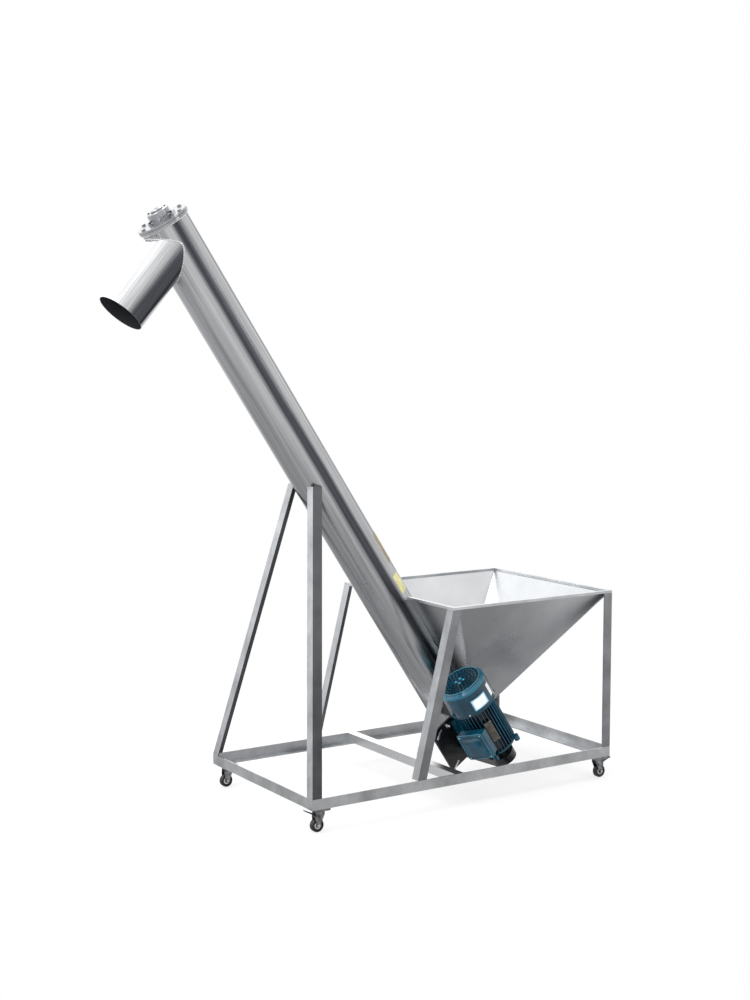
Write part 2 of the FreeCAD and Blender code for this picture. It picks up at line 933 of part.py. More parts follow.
def build_motor_body():
    """A finned aluminium shell with two feet on its +Y side."""
    radius = size("motor_body_radius")
    length = size("motor_body_length")
    low = size("drive_shield_wall")
    body = turned_body("motor_housing", ring_points(radius, radius - size("motor_body_wall"), low, low + length))
    fin = new_sketch(body, "XY_Plane", low)
    half = size("motor_fin_wall") / 2
    polygon(fin, [
        (radius - 1, -half),
        (radius + size("motor_fin_rise"), -half),
        (radius + size("motor_fin_rise"), half),
        (radius - 1, half),
    ])
    fins = pad(body, fin, length)
    repeat_round(body, fins, number_of("motor_fin_count"))
    feet = new_sketch(body, "XY_Plane", low)
    half_spread = size("foot_spread") / 2
    half_foot = size("foot_width") / 2
    plane = size("foot_plane")
    for side in (-1, 1):
        inner = (half_spread - half_foot) * side
        outer = (half_spread + half_foot - 6) * side
        polygon(feet, [
            (inner, plane - size("foot_wall")),
            (inner, plane),
            (outer, plane),
            (outer, plane - size("foot_wall")),
            (outer - 21 * side, plane - size("foot_wall")),
            (inner + 6 * side, radius * 0.62),
            (inner - 8 * side, radius * 0.8),
        ])
    pad(body, feet, size("foot_length"))
    drill = new_sketch(body, "XZ_Plane", -plane)
    margin = (size("foot_length") - size("foot_hole_spread")) / 2
    for side in (-1, 1):
        for height in (low + margin, low + margin + size("foot_hole_spread")):
            circle(drill, half_spread * side, height, size("bolt_radius") + 0.5)
    pocket(body, drill, other_way=True, depth=size("foot_wall") + 1)
    body.Placement = motor_frame
    keep(body)


def build_motor_shields():
    """The two end shields: the drive end with four ears, and the plain fan end."""
    radius = size("shield_radius")
    shaft = size("motor_shaft_radius") + size("running_gap")
    wall = size("drive_shield_wall")
    drive = turned_body("motor_drive_shield", [
        (shaft, 0),
        (shaft + 16, 0),
        (shaft + 18, 4),
        (radius - 12, 6),
        (radius, 14),
        (radius, wall),
        (shaft, wall),
    ])
    ear = new_sketch(drive, "XY_Plane")
    middle = (radius + 6) * math.sqrt(0.5)
    circle(ear, middle, middle, 11)
    ears = pad(drive, ear, wall)
    repeat_round(drive, ears, 4)
    drive.Placement = motor_frame
    keep(drive)
    low = wall + size("motor_body_length")
    rear_wall = size("rear_shield_wall")
    rear = turned_body("motor_rear_shield", [
        (shaft, 0),
        (radius, 0),
        (radius, rear_wall - 6),
        (radius - 10, rear_wall),
        (shaft, rear_wall),
    ])
    lug = new_sketch(rear, "XY_Plane")
    reach = size("cowl_radius") - size("cowl_wall") - size("guard_play")
    polygon(lug, [(radius - 4, -9), (reach, -9), (reach, 9), (radius - 4, 9)])
    lugs = pad(rear, lug, rear_wall - 4)
    repeat_round(rear, lugs, 4)
    rear.Placement = motor_frame * at(0, 0, low, 45)
    keep(rear)


def build_rotor():
    """The motor's shaft with its rotor core, from the drive pulley to the fan."""
    shaft = size("motor_shaft_radius")
    core = size("rotor_radius")
    wall = size("drive_shield_wall")
    low = -(size("guard_start") - size("motor_start") + size("guard_depth") - size("shaft_end_gap"))
    core_low = wall + (size("motor_body_length") - size("rotor_length")) / 2
    top = wall + size("motor_body_length") + size("rear_shield_wall") + size("fan_depth") + 8
    keep(turned_body("motor_rotor", [
        (0, low),
        (shaft - 1, low),
        (shaft, low + 1),
        (shaft, core_low),
        (core, core_low),
        (core, core_low + size("rotor_length")),
        (shaft, core_low + size("rotor_length")),
        (shaft, top - 1),
        (shaft - 1, top),
        (0, top),
    ], motor_frame))


def cowl_start():
    return size("drive_shield_wall") + size("motor_body_length") - size("rear_shield_wall")


def build_cowl():
    """The fan cowl: a drawn cup with a rounded edge and rings of holes in its end."""
    radius = size("cowl_radius")
    wall = size("cowl_wall")
    low = cowl_start()
    high = low + size("cowl_length")
    bend = size("cowl_round")
    body = turned_body("fan_cowl", [
        (radius, low),
        (radius, high - bend),
        (radius - bend, high),
        (0, high),
        (0, high - wall),
        (radius - bend - wall / 2, high - wall),
        (radius - wall, high - bend - wall / 2),
        (radius - wall, low),
    ])
    hole = size("cowl_hole_radius")
    for ring, count in ((18, 8), (32, 14), (46, 20), (60, 26), (74, 32)):
        sketch = new_sketch(body, "XY_Plane")
        circle(sketch, ring, 0, hole)
        repeat_round(body, pocket(body, sketch, other_way=True), count)
    body.Placement = motor_frame
    keep(body)


def build_fan():
    """A hub with straight radial blades on the motor's shaft."""
    low = size("drive_shield_wall") + size("motor_body_length") + size("rear_shield_wall") + 3
    shaft = size("motor_shaft_radius") + size("running_gap") / 2
    depth = size("fan_depth")
    body = turned_body("motor_fan", [
        (shaft, low),
        (size("fan_radius") * 0.7, low),
        (size("fan_radius") * 0.7, low + 3),
        (shaft + 8, low + 3),
        (shaft + 8, low + depth),
        (shaft, low + depth),
    ])
    blade = new_sketch(body, "XY_Plane", low)
    half = size("fan_blade_wall") / 2
    polygon(blade, [
        (shaft + 7, -half),
        (size("fan_radius"), -half),
        (size("fan_radius"), half),
        (shaft + 7, half),
    ])
    blades = pad(body, blade, depth)
    repeat_round(body, blades, number_of("fan_blade_count"))
    body.Placement = motor_frame
    keep(body)


def build_terminal_box():
    """A cast box on the motor's lower near side, with a lid, and a cable inlet in its lower end."""
    length = size("box_length")
    width = size("box_width")
    rise = size("box_rise")
    wall = size("box_wall")
    low = size("box_place")
    root_level = size("motor_body_radius") + size("motor_fin_rise") + size("weld_gap")
    far = root_level + rise
    place = motor_frame * at(turn=size("box_turn").value)
    body = new_body("terminal_box")
    outline = new_sketch(body, "XY_Plane", low)
    half = width / 2
    polygon(outline, [(-root_level, -half), (-root_level, half), (-far, half), (-far, -half)])
    pad(body, outline, length)
    hollow = new_sketch(body, "YZ_Plane", -far)
    polygon(hollow, [
        (wall - half, low + wall),
        (half - wall, low + wall),
        (half - wall, low + length - wall),
        (wall - half, low + length - wall),
    ])
    pocket(body, hollow, other_way=True, depth=rise - wall)
    inlet = new_sketch(body, "XY_Plane", low)
    circle(inlet, -(root_level + rise / 2), 0, size("inlet_hole_radius"))
    pocket(body, inlet, other_way=True, depth=2 * wall)
    body.Placement = place
    keep(body)
    build_gland(place * at(-(root_level + rise / 2), 0, low))
    build_lid(place, half, far, low)


def build_lid(place, half, far, low):
    """The box's lid, which stands past the box's walls all round."""
    rise = size("box_lid_rise")
    over = size("box_lid_overhang")
    lid = new_body("terminal_box_lid")
    cover = new_sketch(lid, "XY_Plane")
    polygon(cover, [
        (-far, -(half + over)),
        (-far, half + over),
        (-far - rise * 0.6, half + over),
        (-far - rise, half - over),
        (-far - rise, over - half),
        (-far - rise * 0.6, -(half + over)),
    ])
    pad(lid, cover, size("box_length") + 2 * over)
    lid.Placement = place * at(0, 0, low - over)
    keep(lid)


def build_gland(place):
    """The cable gland: a threaded neck in the box's wall, a collar and a domed nut."""
    neck = size("inlet_hole_radius") - size("running_gap")
    bore = size("gland_bore_radius")
    collar = size("inlet_hole_radius") + 3
    keep(turned_body("cable_gland", [
        (bore, -size("box_wall")),
        (neck, -size("box_wall")),
        (neck, 0),
        (collar, 0),
        (collar, 5),
        (collar - 1, 5),
        (collar - 1, 12),
        (bore + 1.5, 16),
        (bore, 16),
    ], place * at(turn=180, about=(1, 0, 0))))


def build_bracket():
    """A plate under the motor's feet, held off the tube by two ribs coped to it."""
    near = size("bracket_reach_near")
    far = size("bracket_reach_far")
    wall = size("bracket_wall")
    overhang = size("bracket_overhang")
    low = size("drive_shield_wall") - overhang
    length = size("foot_length") + 2 * overhang
    plane = size("foot_plane")
    plate = new_body("bracket_plate")
    face = new_sketch(plate, "XZ_Plane")
    polygon(face, [(-near, low), (far, low), (far, low + length), (-near, low + length)])
    pad(plate, face, wall, other_way=True)
    drill = new_sketch(plate, "XZ_Plane")
    margin = (size("foot_length") - size("foot_hole_spread")) / 2
    for side in (-1, 1):
        for height in (margin, margin + size("foot_hole_spread")):
            level = size("drive_shield_wall") + height
            circle(drill, size("foot_spread") / 2 * side, level, size("bolt_radius") + 0.5)
    holes = pocket(plate, drill)
    holes.Midplane = True
    plate.Placement = motor_frame * at(0, plane, 0)
    gap = size("motor_side_place") - plane - wall
    ribs = []
    rib_depth = size("rib_depth")
    inset = overhang + size("rib_wall")
    for number, level in enumerate((low + inset, low + length - inset - size("rib_wall"))):
        place = motor_frame * at(-rib_depth / 2, plane + wall, level)
        ribs.append(box_piece(f"bracket_rib_{number}", rib_depth, gap, size("rib_wall"), place))
    keep(cut("motor_bracket", fuse("bracket_blank", [plate] + ribs), tube_envelope("bracket_cope")))
    foot_bolts(plane, margin)


def foot_bolts(plane, margin):
    """Hexagon bolts through the motor's feet and the bracket plate."""
    length = size("foot_wall") + size("bracket_wall") + 4
    shank = cylinder_piece("foot_bolt_shank", size("bolt_radius"), length, at())
    head = document.addObject("Part::Prism", "foot_bolt_head")
    head.Polygon = 6
    bind(head, "Circumradius", size("bolt_head_radius"))
    bind(head, "Height", size("bolt_head_rise"))
    head.Placement = at(0, 0, -size("bolt_head_rise"))
    one = fuse("foot_bolt_one", [shank, head])
    places = []
    for side in (-1, 1):
        for height in (margin, margin + size("foot_hole_spread")):
            level = size("drive_shield_wall") + height
            spot = at(size("foot_spread") / 2 * side, plane - size("foot_wall"), level)
            places.append(motor_frame * spot * at(turn=-90, about=(1, 0, 0)))
    keep(group_of("motor_foot_bolts", one, places))


# Casters


# Each caster's end and side of the base, and how far its brake pedal is raised, in degrees

CASTERS = {
    "front_left": (-1, -1, 27),
    "back_left": (-1, 1, None),
    "front_right": (1, -1, 17),
    "back_right": (1, 1, None),
}


def caster_frame(end, side):
    """On the floor under a corner of the base, with X the way the caster trails."""
    x = frame_length - size("caster_inset_right") if end > 0 else size("caster_inset_left")
    return at(x + frame_left, side * (half_width - size("caster_inset_side")), 0, 0 if end > 0 else 180)


def build_casters():
    build_caster_plates()
    for name, (end, side, pedal_turn) in CASTERS.items():
        place = caster_frame(end, side)
        build_fork(name, place, pedal_turn is not None)
        build_wheel(name, place)
        if pedal_turn is not None:
            build_pedal(name, place, pedal_turn)


def build_caster_plates():
    """Pad, top plate and kingpin of each caster, fixed under the corners of the base."""
    rise = size("caster_rise")
    side = size("caster_plate_side")
    wall = size("caster_plate_wall")
    plate = box_piece("caster_plate", side, side, wall + size("caster_pad_wall"),
                      at(-side / 2, -side / 2, rise - wall))
    race_low = rise - wall - size("swivel_race_rise")
    race_rise = size("swivel_race_rise")
    race = cylinder_piece("caster_race", size("swivel_race_radius"), race_rise, at(0, 0, race_low))
    head_top = race_low - 2 * size("swivel_gap") - size("fork_web_wall")
    pin = cylinder_piece("caster_kingpin", size("kingpin_radius"), race_low - head_top, at(0, 0, head_top))
    head_wall = size("kingpin_head_wall")
    head_place = at(0, 0, head_top - head_wall)
    head = cylinder_piece("caster_pin_head", size("kingpin_head_radius"), head_wall, head_place)
    one = fuse("caster_top", [plate, race, pin, head])
    places = [caster_frame(end, side) for end, side, _ in CASTERS.values()]
    keep(group_of("caster_plates", one, places))


def fork_side():
    """How far the inner faces of the fork's cheeks lie from the middle of the wheel."""
    return size("wheel_width") / 2 + size("fork_side_gap")


def build_fork(name, place, braked):
    """A pressed fork: a web under the race and two cheeks, with the riveted pins as their own solids."""
    web_top = size("caster_rise") - size("caster_plate_wall") - size("swivel_race_rise") - size("swivel_gap")
    web = size("fork_web_wall")
    inner = fork_side()
    wall = size("fork_wall")
    outer = inner + wall
    trail = size("caster_trail")
    axle = size("wheel_radius")
    body = new_body(f"fork_{name}_shell")
    top = new_sketch(body, "XY_Plane")
    reach = size("swivel_race_radius") - 2
    polygon(top, [(-reach, -outer), (reach, -outer), (reach, outer), (-reach, outer)])
    pad(body, top, web_top)
    profile = new_sketch(body, "XZ_Plane")
    low = web_top - web
    polygon(profile, [
        (-reach - 2, -1),
        (reach + 2, -1),
        (reach + 2, low),
        (-reach - 2, low),
    ])
    cleared = pocket(body, profile)
    cleared.Midplane = True
    pivot = size("pedal_pivot_place")
    pivot_rise = size("pedal_pivot_rise")
    for direction in (True, False):
        cheek = new_sketch(body, "XZ_Plane")
        polygon(cheek, [
            (-reach, web_top),
            (reach, web_top),
            (pivot + 5, pivot_rise + 6),
            (pivot + 6, pivot_rise - 6),
            (trail + 9, axle + 3),
            (trail + 7, axle - 8),
            (trail - 7, axle - 8),
            (trail - 9, axle + 3),
            (-reach, low - 6),
        ])
        pad(body, cheek, outer, other_way=direction)
    slot = new_sketch(body, "YZ_Plane")
    polygon(slot, [(-inner, 0), (inner, 0), (inner, low), (-inner, low)])
    gap = pocket(body, slot)
    gap.Midplane = True
    bore = new_sketch(body, "XY_Plane")
    circle(bore, 0, 0, size("kingpin_radius") + size("running_gap"))
    pocket(body, bore, other_way=True)
    axle_holes = new_sketch(body, "XZ_Plane")
    circle(axle_holes, trail, axle, size("axle_radius") + size("running_gap") / 2)
    if braked:
        circle(axle_holes, pivot, pivot_rise, size("pedal_pin_radius") + size("running_gap") / 2)
    through = pocket(body, axle_holes)
    through.Midplane = True
    length = 2 * outer
    pin = cylinder_piece(f"axle_{name}_pin", size("axle_radius"), length + 2 * size("axle_head_wall"),
                         at(trail, outer + size("axle_head_wall"), axle, 90, (1, 0, 0)))
    near = cylinder_piece(f"axle_{name}_near", size("axle_head_radius"), size("axle_head_wall"),
                          at(trail, -outer, axle, 90, (1, 0, 0)))
    far = cylinder_piece(f"axle_{name}_far", size("axle_head_radius"), size("axle_head_wall"),
                         at(trail, outer + size("axle_head_wall"), axle, 90, (1, 0, 0)))
    rivet = fuse(f"axle_{name}", [pin, near, far])
    links = [body, rivet]
    if braked:
        links.append(cylinder_piece(f"pedal_{name}_pin", size("pedal_pin_radius"), length,
                                    at(pivot, outer, pivot_rise, 90, (1, 0, 0))))
    item = compound(f"caster_fork_{name}", links)
    item.Placement = place
    keep(item)


def build_wheel(name, place):
    """A rubber-tyred wheel with a dished hub, turning on the axle."""
    radius = size("wheel_radius")
    half = size("wheel_width") / 2
    bore = size("axle_radius") + size("wheel_bore_gap")
    hub = half + size("fork_side_gap") - size("swivel_gap")
    spin = place * at(size("caster_trail"), 0, radius, 90, (1, 0, 0))
    body = turned_body(f"caster_wheel_{name}", [
        (bore, -hub),
        (bore + 3, -hub),
        (bore + 4, -half + 3),
        (radius - 8, -half + 3),
        (radius - 6, -half),
        (radius - 2, -half),
        (radius, -half + 3),
        (radius, half - 3),
        (radius - 2, half),
        (radius - 6, half),
        (radius - 8, half - 3),
        (bore + 4, half - 3),
        (bore + 3, hub),
        (bore, hub),
    ], spin)
    keep(body)


def build_pedal(name, place, raised):
    """A brake pedal over the tyre, hinged between the fork's cheeks."""
    pivot = size("pedal_pivot_place")
    rise = size("pedal_pivot_rise")
    reach = size("pedal_reach")
    wall = size("pedal_wall")
    half = size("wheel_width") / 2 - 1
    body = new_body(f"brake_pedal_{name}")
    sketch = new_sketch(body, "XZ_Plane")
    polygon(sketch, [
        (-4, -4),
        (0, -9.5),
        (2, -9.5),
        (5, -3),
        (reach * 0.6, 3 - wall),
        (reach, 3 - wall),
        (reach, 3),
        (reach * 0.6, 3),
        (4, 4.5),
        (-4, 4),
    ])
    pad(body, sketch, 2 * half)
    hole = new_sketch(body, "XZ_Plane")
    circle(hole, 0, 0, size("pedal_pin_radius") + size("running_gap"))
    through = pocket(body, hole)
    through.Midplane = True
    body.Placement = place * at(pivot, 0, rise, -raised, (0, 1, 0)) * at(0, half, 0)
    keep(body)


def build_all():
    build_base()
    build_cross_member()
    build_hopper_legs()
    tube_leg("tube_leg_front", -1)
    tube_leg("tube_leg_back", 1)
    build_rim()
    build_hopper_panels()
    build_tube()
    build_spout()
    plate_level = size("tube_length") + size("flange_wall")
    end_flange("top_flange", size("tube_length"))
    end_plate("top_cover", plate_level)
    bearing_unit("top", plate_level + size("cover_wall"), True)
    cover_bolts("top_cover_bolts", plate_level + size("cover_wall"), True)
    end_flange("bottom_flange", -size("flange_wall"))
    end_plate("bottom_end_plate", -size("flange_wall") - size("cover_wall"))
    bearing_unit("bottom", -size("flange_wall") - size("cover_wall"), False)
    cover_bolts("bottom_end_bolts", -size("flange_wall") - size("cover_wall"), False)
    build_auger()
    build_drive()
    build_motor()
    build_casters()


def check_model():
    document.recompute()
    for item in document.Objects:
        if "Invalid" in item.State or "Error" in item.State:
            raise RuntimeError(f"{item.Label} failed: {item.State}")
    for label, item in nodes.items():
        if item.Shape.isNull() or not item.Shape.isValid() or not item.Shape.Solids:
            raise RuntimeError(f"{label} has no valid solid")


def export_parts():
    os.makedirs("parts", exist_ok=True)
    for label, item in nodes.items():
        item.Shape.exportStep(f"parts/{label}.step")
    print(len(nodes), "nodes")


build_all()
check_model()
export_parts()
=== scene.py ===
# Looks of an inclined screw feeder: stainless sheet and angle, a teal motor and small casters.
# Sizes are in millimetres and turns in degrees, as the pieces are drawn. Places in the scene are in metres.

import json
import math

import bmesh
import bpy
from mathutils import Matrix, Vector


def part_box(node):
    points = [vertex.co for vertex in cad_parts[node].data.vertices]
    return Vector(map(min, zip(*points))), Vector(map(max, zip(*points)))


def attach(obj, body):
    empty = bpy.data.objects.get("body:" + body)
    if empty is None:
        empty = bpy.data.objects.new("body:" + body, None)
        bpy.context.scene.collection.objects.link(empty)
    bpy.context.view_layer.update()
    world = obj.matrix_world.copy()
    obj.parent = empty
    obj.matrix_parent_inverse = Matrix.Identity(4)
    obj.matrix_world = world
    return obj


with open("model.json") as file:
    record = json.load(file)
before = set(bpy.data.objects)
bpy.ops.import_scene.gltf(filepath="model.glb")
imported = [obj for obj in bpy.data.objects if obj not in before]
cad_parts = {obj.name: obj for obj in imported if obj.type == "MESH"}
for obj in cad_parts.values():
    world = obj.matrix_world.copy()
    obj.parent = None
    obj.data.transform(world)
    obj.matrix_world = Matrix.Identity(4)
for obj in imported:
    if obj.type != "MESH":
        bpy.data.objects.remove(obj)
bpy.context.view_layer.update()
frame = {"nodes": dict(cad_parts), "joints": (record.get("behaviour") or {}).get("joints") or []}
nodes = frame["nodes"]
joints = {joint["name"]: joint for joint in frame["joints"]}
mm = 0.001

# The tube's own directions, read from the auger's joint: up the tube, and square to it on the upper side
tubeUp = Vector(joints["auger_spin"]["axis"]).normalized()
tubeFoot = Vector(joints["auger_spin"]["pos_m"])
tubeOut = Vector((tubeUp.z, 0, -tubeUp.x))
motorFoot = Vector(joints["motor_spin"]["pos_m"])
across = Vector((0, 1, 0))
tubeTurn = Matrix((tubeOut, across, tubeUp)).transposed().to_4x4()
tubeLean = math.atan2(tubeUp.x, tubeUp.z)


def axisFrame(foot, up=0):
    # A matrix in the tube's own directions, its origin so many millimetres up an axis from its foot
    return Matrix.Translation(foot + tubeUp * up * mm) @ tubeTurn


# The tube. The hopper's walls meet it so far out from its axis, down to a toe so far up from its foot.
tubeSize = {
    "radius": 90,
    "length": 2357,
    "saddle": 46,
    "toe": 26,
}
# The spout, so far up the tube, leaning down by so many degrees from square to it
spoutSize = {
    "radius": 88,
    "place": 2281,
    "lean": 16.5,
}
tubePlace = axisFrame(tubeFoot)


# Materials

def hexColour(text):
    values = [int(text[i:i + 2], 16) / 255 for i in (1, 3, 5)]
    linear = [v / 12.92 if v <= 0.04045 else ((v + 0.055) / 1.055) ** 2.4 for v in values]
    return (*linear, 1)


def addNode(tree, kind, inputs=None, settings=None):
    # Adds a shader node, sets its properties, and sets or links its inputs
    node = tree.nodes.new(kind)
    for name, value in (settings or {}).items():
        setattr(node, name, value)
    for name, value in (inputs or {}).items():
        if isinstance(value, bpy.types.NodeSocket):
            tree.links.new(value, node.inputs[name])
        else:
            node.inputs[name].default_value = value
    return node


def addRamp(tree, source, stops):
    # A colour ramp from (place, hex colour) stops
    node = addNode(tree, "ShaderNodeValToRGB", {"Fac": source})
    elements = node.color_ramp.elements
    while len(elements) < len(stops):
        elements.new(0.5)
    for element, (place, colour) in zip(elements, stops):
        element.position = place
        element.color = hexColour(colour)
    return node.outputs["Color"]


def startMaterial(name, metallic, roughness):
    material = bpy.data.materials.new(name)
    material.use_nodes = True
    tree = material.node_tree
    shader = tree.nodes["Principled BSDF"]
    shader.inputs["Metallic"].default_value = metallic
    shader.inputs["Roughness"].default_value = roughness
    coords = addNode(tree, "ShaderNodeTexCoord").outputs["Object"]
    return material, tree, shader, coords


def roughen(tree, shader, source, low, high):
    # Lets a pattern move the roughness between two values
    node = addNode(tree, "ShaderNodeMapRange", {"Value": source, "To Min": low, "To Max": high})
    tree.links.new(node.outputs["Result"], shader.inputs["Roughness"])


def addBump(tree, shader, height, strength, distance):
    bump = addNode(tree, "ShaderNodeBump", {"Height": height, "Strength": strength, "Distance": distance})
    tree.links.new(bump.outputs["Normal"], shader.inputs["Normal"])


def millStainless(name, light, dark, roughness, patch=160, shadeFront=0.0, grainScale=(1, 1, 1), slope=0.0):
    # Plain stainless, AISI 304, as angle, sheet or a machined face: soft grey, faintly cloudy, fine grain.
    # A slope makes it lighter towards the hopper's end of the frame.
    material, tree, shader, coords = startMaterial(name, 1, roughness)
    middle = 0.62  # where along X, in metres, the slope changes nothing
    cloud = addNode(tree, "ShaderNodeTexNoise", {"Vector": coords, "Scale": 1000 / patch, "Detail": 6,
                                                 "Roughness": 0.6})
    spots = addNode(tree, "ShaderNodeSeparateXYZ", {"Vector": coords})
    tilted = addNode(tree, "ShaderNodeMath", {0: spots.outputs["X"], 1: slope, 2: cloud.outputs["Fac"]},
                     {"operation": "MULTIPLY_ADD"})
    level = addNode(tree, "ShaderNodeMath", {0: tilted.outputs["Value"], 1: middle * slope},
                    {"operation": "SUBTRACT"})
    colour = addRamp(tree, level.outputs["Value"], [(0.25, dark), (0.75, light)])
    drawn = addNode(tree, "ShaderNodeMapping", {"Vector": coords, "Scale": grainScale})
    vector = drawn.outputs["Vector"]
    if shadeFront:
        # Painted shade: the front faces of the uprights are darker than their sides, mixed towards a dark
        # grey by how far they face the front
        normal = addNode(tree, "ShaderNodeNewGeometry").outputs["Normal"]
        parts = addNode(tree, "ShaderNodeSeparateXYZ", {"Vector": normal})
        front = addNode(tree, "ShaderNodeMapRange", {"Value": parts.outputs["Y"], "From Min": -0.5,
                                                     "From Max": -0.9, "To Max": shadeFront})
        shaded = addNode(tree, "ShaderNodeMix", {0: front.outputs["Result"]}, {"data_type": "RGBA"})
        tree.links.new(colour, shaded.inputs[6])
        shaded.inputs[7].default_value = hexColour("#323336")
        colour = shaded.outputs[2]
    tree.links.new(colour, shader.inputs["Base Color"])
    # Grain of 2 mm, coarser than the real pickled grain so that it shows
    grain = addNode(tree, "ShaderNodeTexNoise", {"Vector": vector, "Scale": 1000 / 2, "Detail": 3})
    roughen(tree, shader, cloud.outputs["Fac"], roughness - 0.08, roughness + 0.1)
    addBump(tree, shader, grain.outputs["Fac"], 0.08, 0.0002)
    return material


def brushedTube(name, turn, centre, stops, roughness, wallMiddle, streak=9):
    # Stainless tube polished along its length: fine lines, and long bands of painted reflection, light and
    # dark, fixed round it.
    # Inside the wall's middle, given in millimetres, it is unpolished, with painted shade: dark grey and not
    # metallic.
    material, tree, shader, coords = startMaterial(name, 1, roughness)
    # The streaks here are the bands of painted reflection, which wander a little round the tube
    sway = 0.16  # how far the streaks wander round the tube, in radians
    moved = addNode(tree, "ShaderNodeVectorMath", {0: coords, 1: tuple(-v for v in centre)},
                    {"operation": "ADD"})
    spun = addNode(tree, "ShaderNodeVectorRotate", {"Vector": moved.outputs["Vector"], "Rotation": turn},
                   {"rotation_type": "EULER_XYZ"})
    own = spun.outputs["Vector"]
    parts = addNode(tree, "ShaderNodeSeparateXYZ", {"Vector": own})
    angle = addNode(tree, "ShaderNodeMath", {0: parts.outputs["Y"], 1: parts.outputs["X"]},
                    {"operation": "ARCTAN2"})
    drift = addNode(tree, "ShaderNodeTexNoise", {"Vector": own, "Scale": 2.2, "Detail": 2})
    wander = addNode(tree, "ShaderNodeMath", {0: drift.outputs["Fac"], 1: sway, 2: angle.outputs["Value"]},
                     {"operation": "MULTIPLY_ADD"})
    place = addNode(tree, "ShaderNodeMapRange", {"Value": wander.outputs["Value"],
                                                 "From Min": -math.pi + sway / 2,
                                                 "From Max": math.pi + sway / 2})
    # Painted reflection: light and dark bands at set angles round the axis
    bands = addRamp(tree, place.outputs["Result"], stops)
    drawn = addNode(tree, "ShaderNodeMapping", {"Vector": own, "Scale": (1, 1, 0.02)})
    # Polishing lines every few millimetres, wider than the real scratches so that they show
    lines = addNode(tree, "ShaderNodeTexNoise", {"Vector": drawn.outputs["Vector"], "Scale": 1000 / streak,
                                                 "Detail": 5, "Roughness": 0.65})
    shade = addRamp(tree, lines.outputs["Fac"], [(0.3, "#B9B9BB"), (0.62, "#FFFFFF")])
    mixed = addNode(tree, "ShaderNodeMix", {0: 0.8}, {"data_type": "RGBA", "blend_type": "MULTIPLY"})
    tree.links.new(bands, mixed.inputs[6])
    tree.links.new(shade, mixed.inputs[7])
    flat = addNode(tree, "ShaderNodeVectorMath", {0: own, 1: (1, 1, 0)}, {"operation": "MULTIPLY"})
    distance = addNode(tree, "ShaderNodeVectorMath", {0: flat.outputs["Vector"]}, {"operation": "LENGTH"})
    # Painted shade inside the bore: within the wall's middle the surface turns dark grey and not metallic
    outside = addNode(tree, "ShaderNodeMath", {0: distance.outputs["Value"], 1: wallMiddle * mm},
                      {"operation": "GREATER_THAN"})
    whole = addNode(tree, "ShaderNodeMix", {0: outside.outputs["Value"]}, {"data_type": "RGBA"})
    whole.inputs[6].default_value = hexColour("#2A2B2E")
    tree.links.new(mixed.outputs[2], whole.inputs[7])
    tree.links.new(whole.outputs[2], shader.inputs["Base Color"])
    tree.links.new(outside.outputs["Value"], shader.inputs["Metallic"])
    roughen(tree, shader, lines.outputs["Fac"], roughness - 0.07, roughness + 0.1)
    addBump(tree, shader, lines.outputs["Fac"], 0.05, 0.0003)
    return material


def paintedMetal(name, light, dark, roughness, patch=60, coat=0.15, valleyRadius=0, shoulder=None):
    # Sprayed alkyd enamel over a casting: glossy, with a faint orange peel and slight fading in patches.
    # A shoulder is a painted highlight: a paler band between two levels along the motor, in millimetres, with
    # its colour.
    material, tree, shader, coords = startMaterial(name, 0, roughness)
    shader.inputs["Coat Weight"].default_value = coat
    shader.inputs["Coat Roughness"].default_value = 0.12
    cloud = addNode(tree, "ShaderNodeTexNoise", {"Vector": coords, "Scale": 1000 / patch, "Detail": 5})
    colour = addRamp(tree, cloud.outputs["Fac"], [(0.3, dark), (0.72, light)])
    if shoulder:
        # Painted highlight: the band round the cowl's shoulder takes the paler colour
        first, last, lighter = shoulder
        raised = addNode(tree, "ShaderNodeVectorMath", {0: coords, 1: tuple(-v for v in motorFoot)},
                         {"operation": "ADD"})
        height = addNode(tree, "ShaderNodeVectorMath", {0: raised.outputs["Vector"], 1: tuple(tubeUp)},
                         {"operation": "DOT_PRODUCT"})
        above = addNode(tree, "ShaderNodeMapRange", {"Value": height.outputs["Value"], "From Min": first * mm,
                                                     "From Max": (first + 5) * mm})
        below = addNode(tree, "ShaderNodeMapRange", {"Value": height.outputs["Value"], "From Min": last * mm,
                                                     "From Max": (last - 2) * mm})
        inBand = addNode(tree, "ShaderNodeMath", {0: above.outputs["Result"], 1: below.outputs["Result"]},
                         {"operation": "MULTIPLY"})
        banded = addNode(tree, "ShaderNodeMix", {0: inBand.outputs["Value"]}, {"data_type": "RGBA"})
        tree.links.new(colour, banded.inputs[6])
        banded.inputs[7].default_value = hexColour(lighter)
        colour = banded.outputs[2]
    if valleyRadius:
        # Painted shade, with some oily dust, darkens the valleys between the fins, by the distance from the
        # motor's axis
        moved = addNode(tree, "ShaderNodeVectorMath", {0: coords, 1: tuple(-v for v in motorFoot)},
                        {"operation": "ADD"})
        along = addNode(tree, "ShaderNodeVectorMath", {0: moved.outputs["Vector"], 1: tuple(tubeUp)},
                        {"operation": "CROSS_PRODUCT"})
        distance = addNode(tree, "ShaderNodeVectorMath", {0: along.outputs["Vector"]},
                           {"operation": "LENGTH"})
        depth = addNode(tree, "ShaderNodeMapRange", {"Value": distance.outputs["Value"],
                                                     "From Min": valleyRadius * mm,
                                                     "From Max": (valleyRadius + 6) * mm})
        dusty = addNode(tree, "ShaderNodeMix", {0: depth.outputs["Result"]}, {"data_type": "RGBA"})
        dusty.inputs[6].default_value = hexColour("#071014")
        tree.links.new(colour, dusty.inputs[7])
        colour = dusty.outputs[2]
    tree.links.new(colour, shader.inputs["Base Color"])
    peel = addNode(tree, "ShaderNodeTexNoise", {"Vector": coords, "Scale": 1000 / 3, "Detail": 2})
    roughen(tree, shader, cloud.outputs["Fac"], roughness - 0.06, roughness + 0.1)
    addBump(tree, shader, peel.outputs["Fac"], 0.1, 0.0004)
    return material


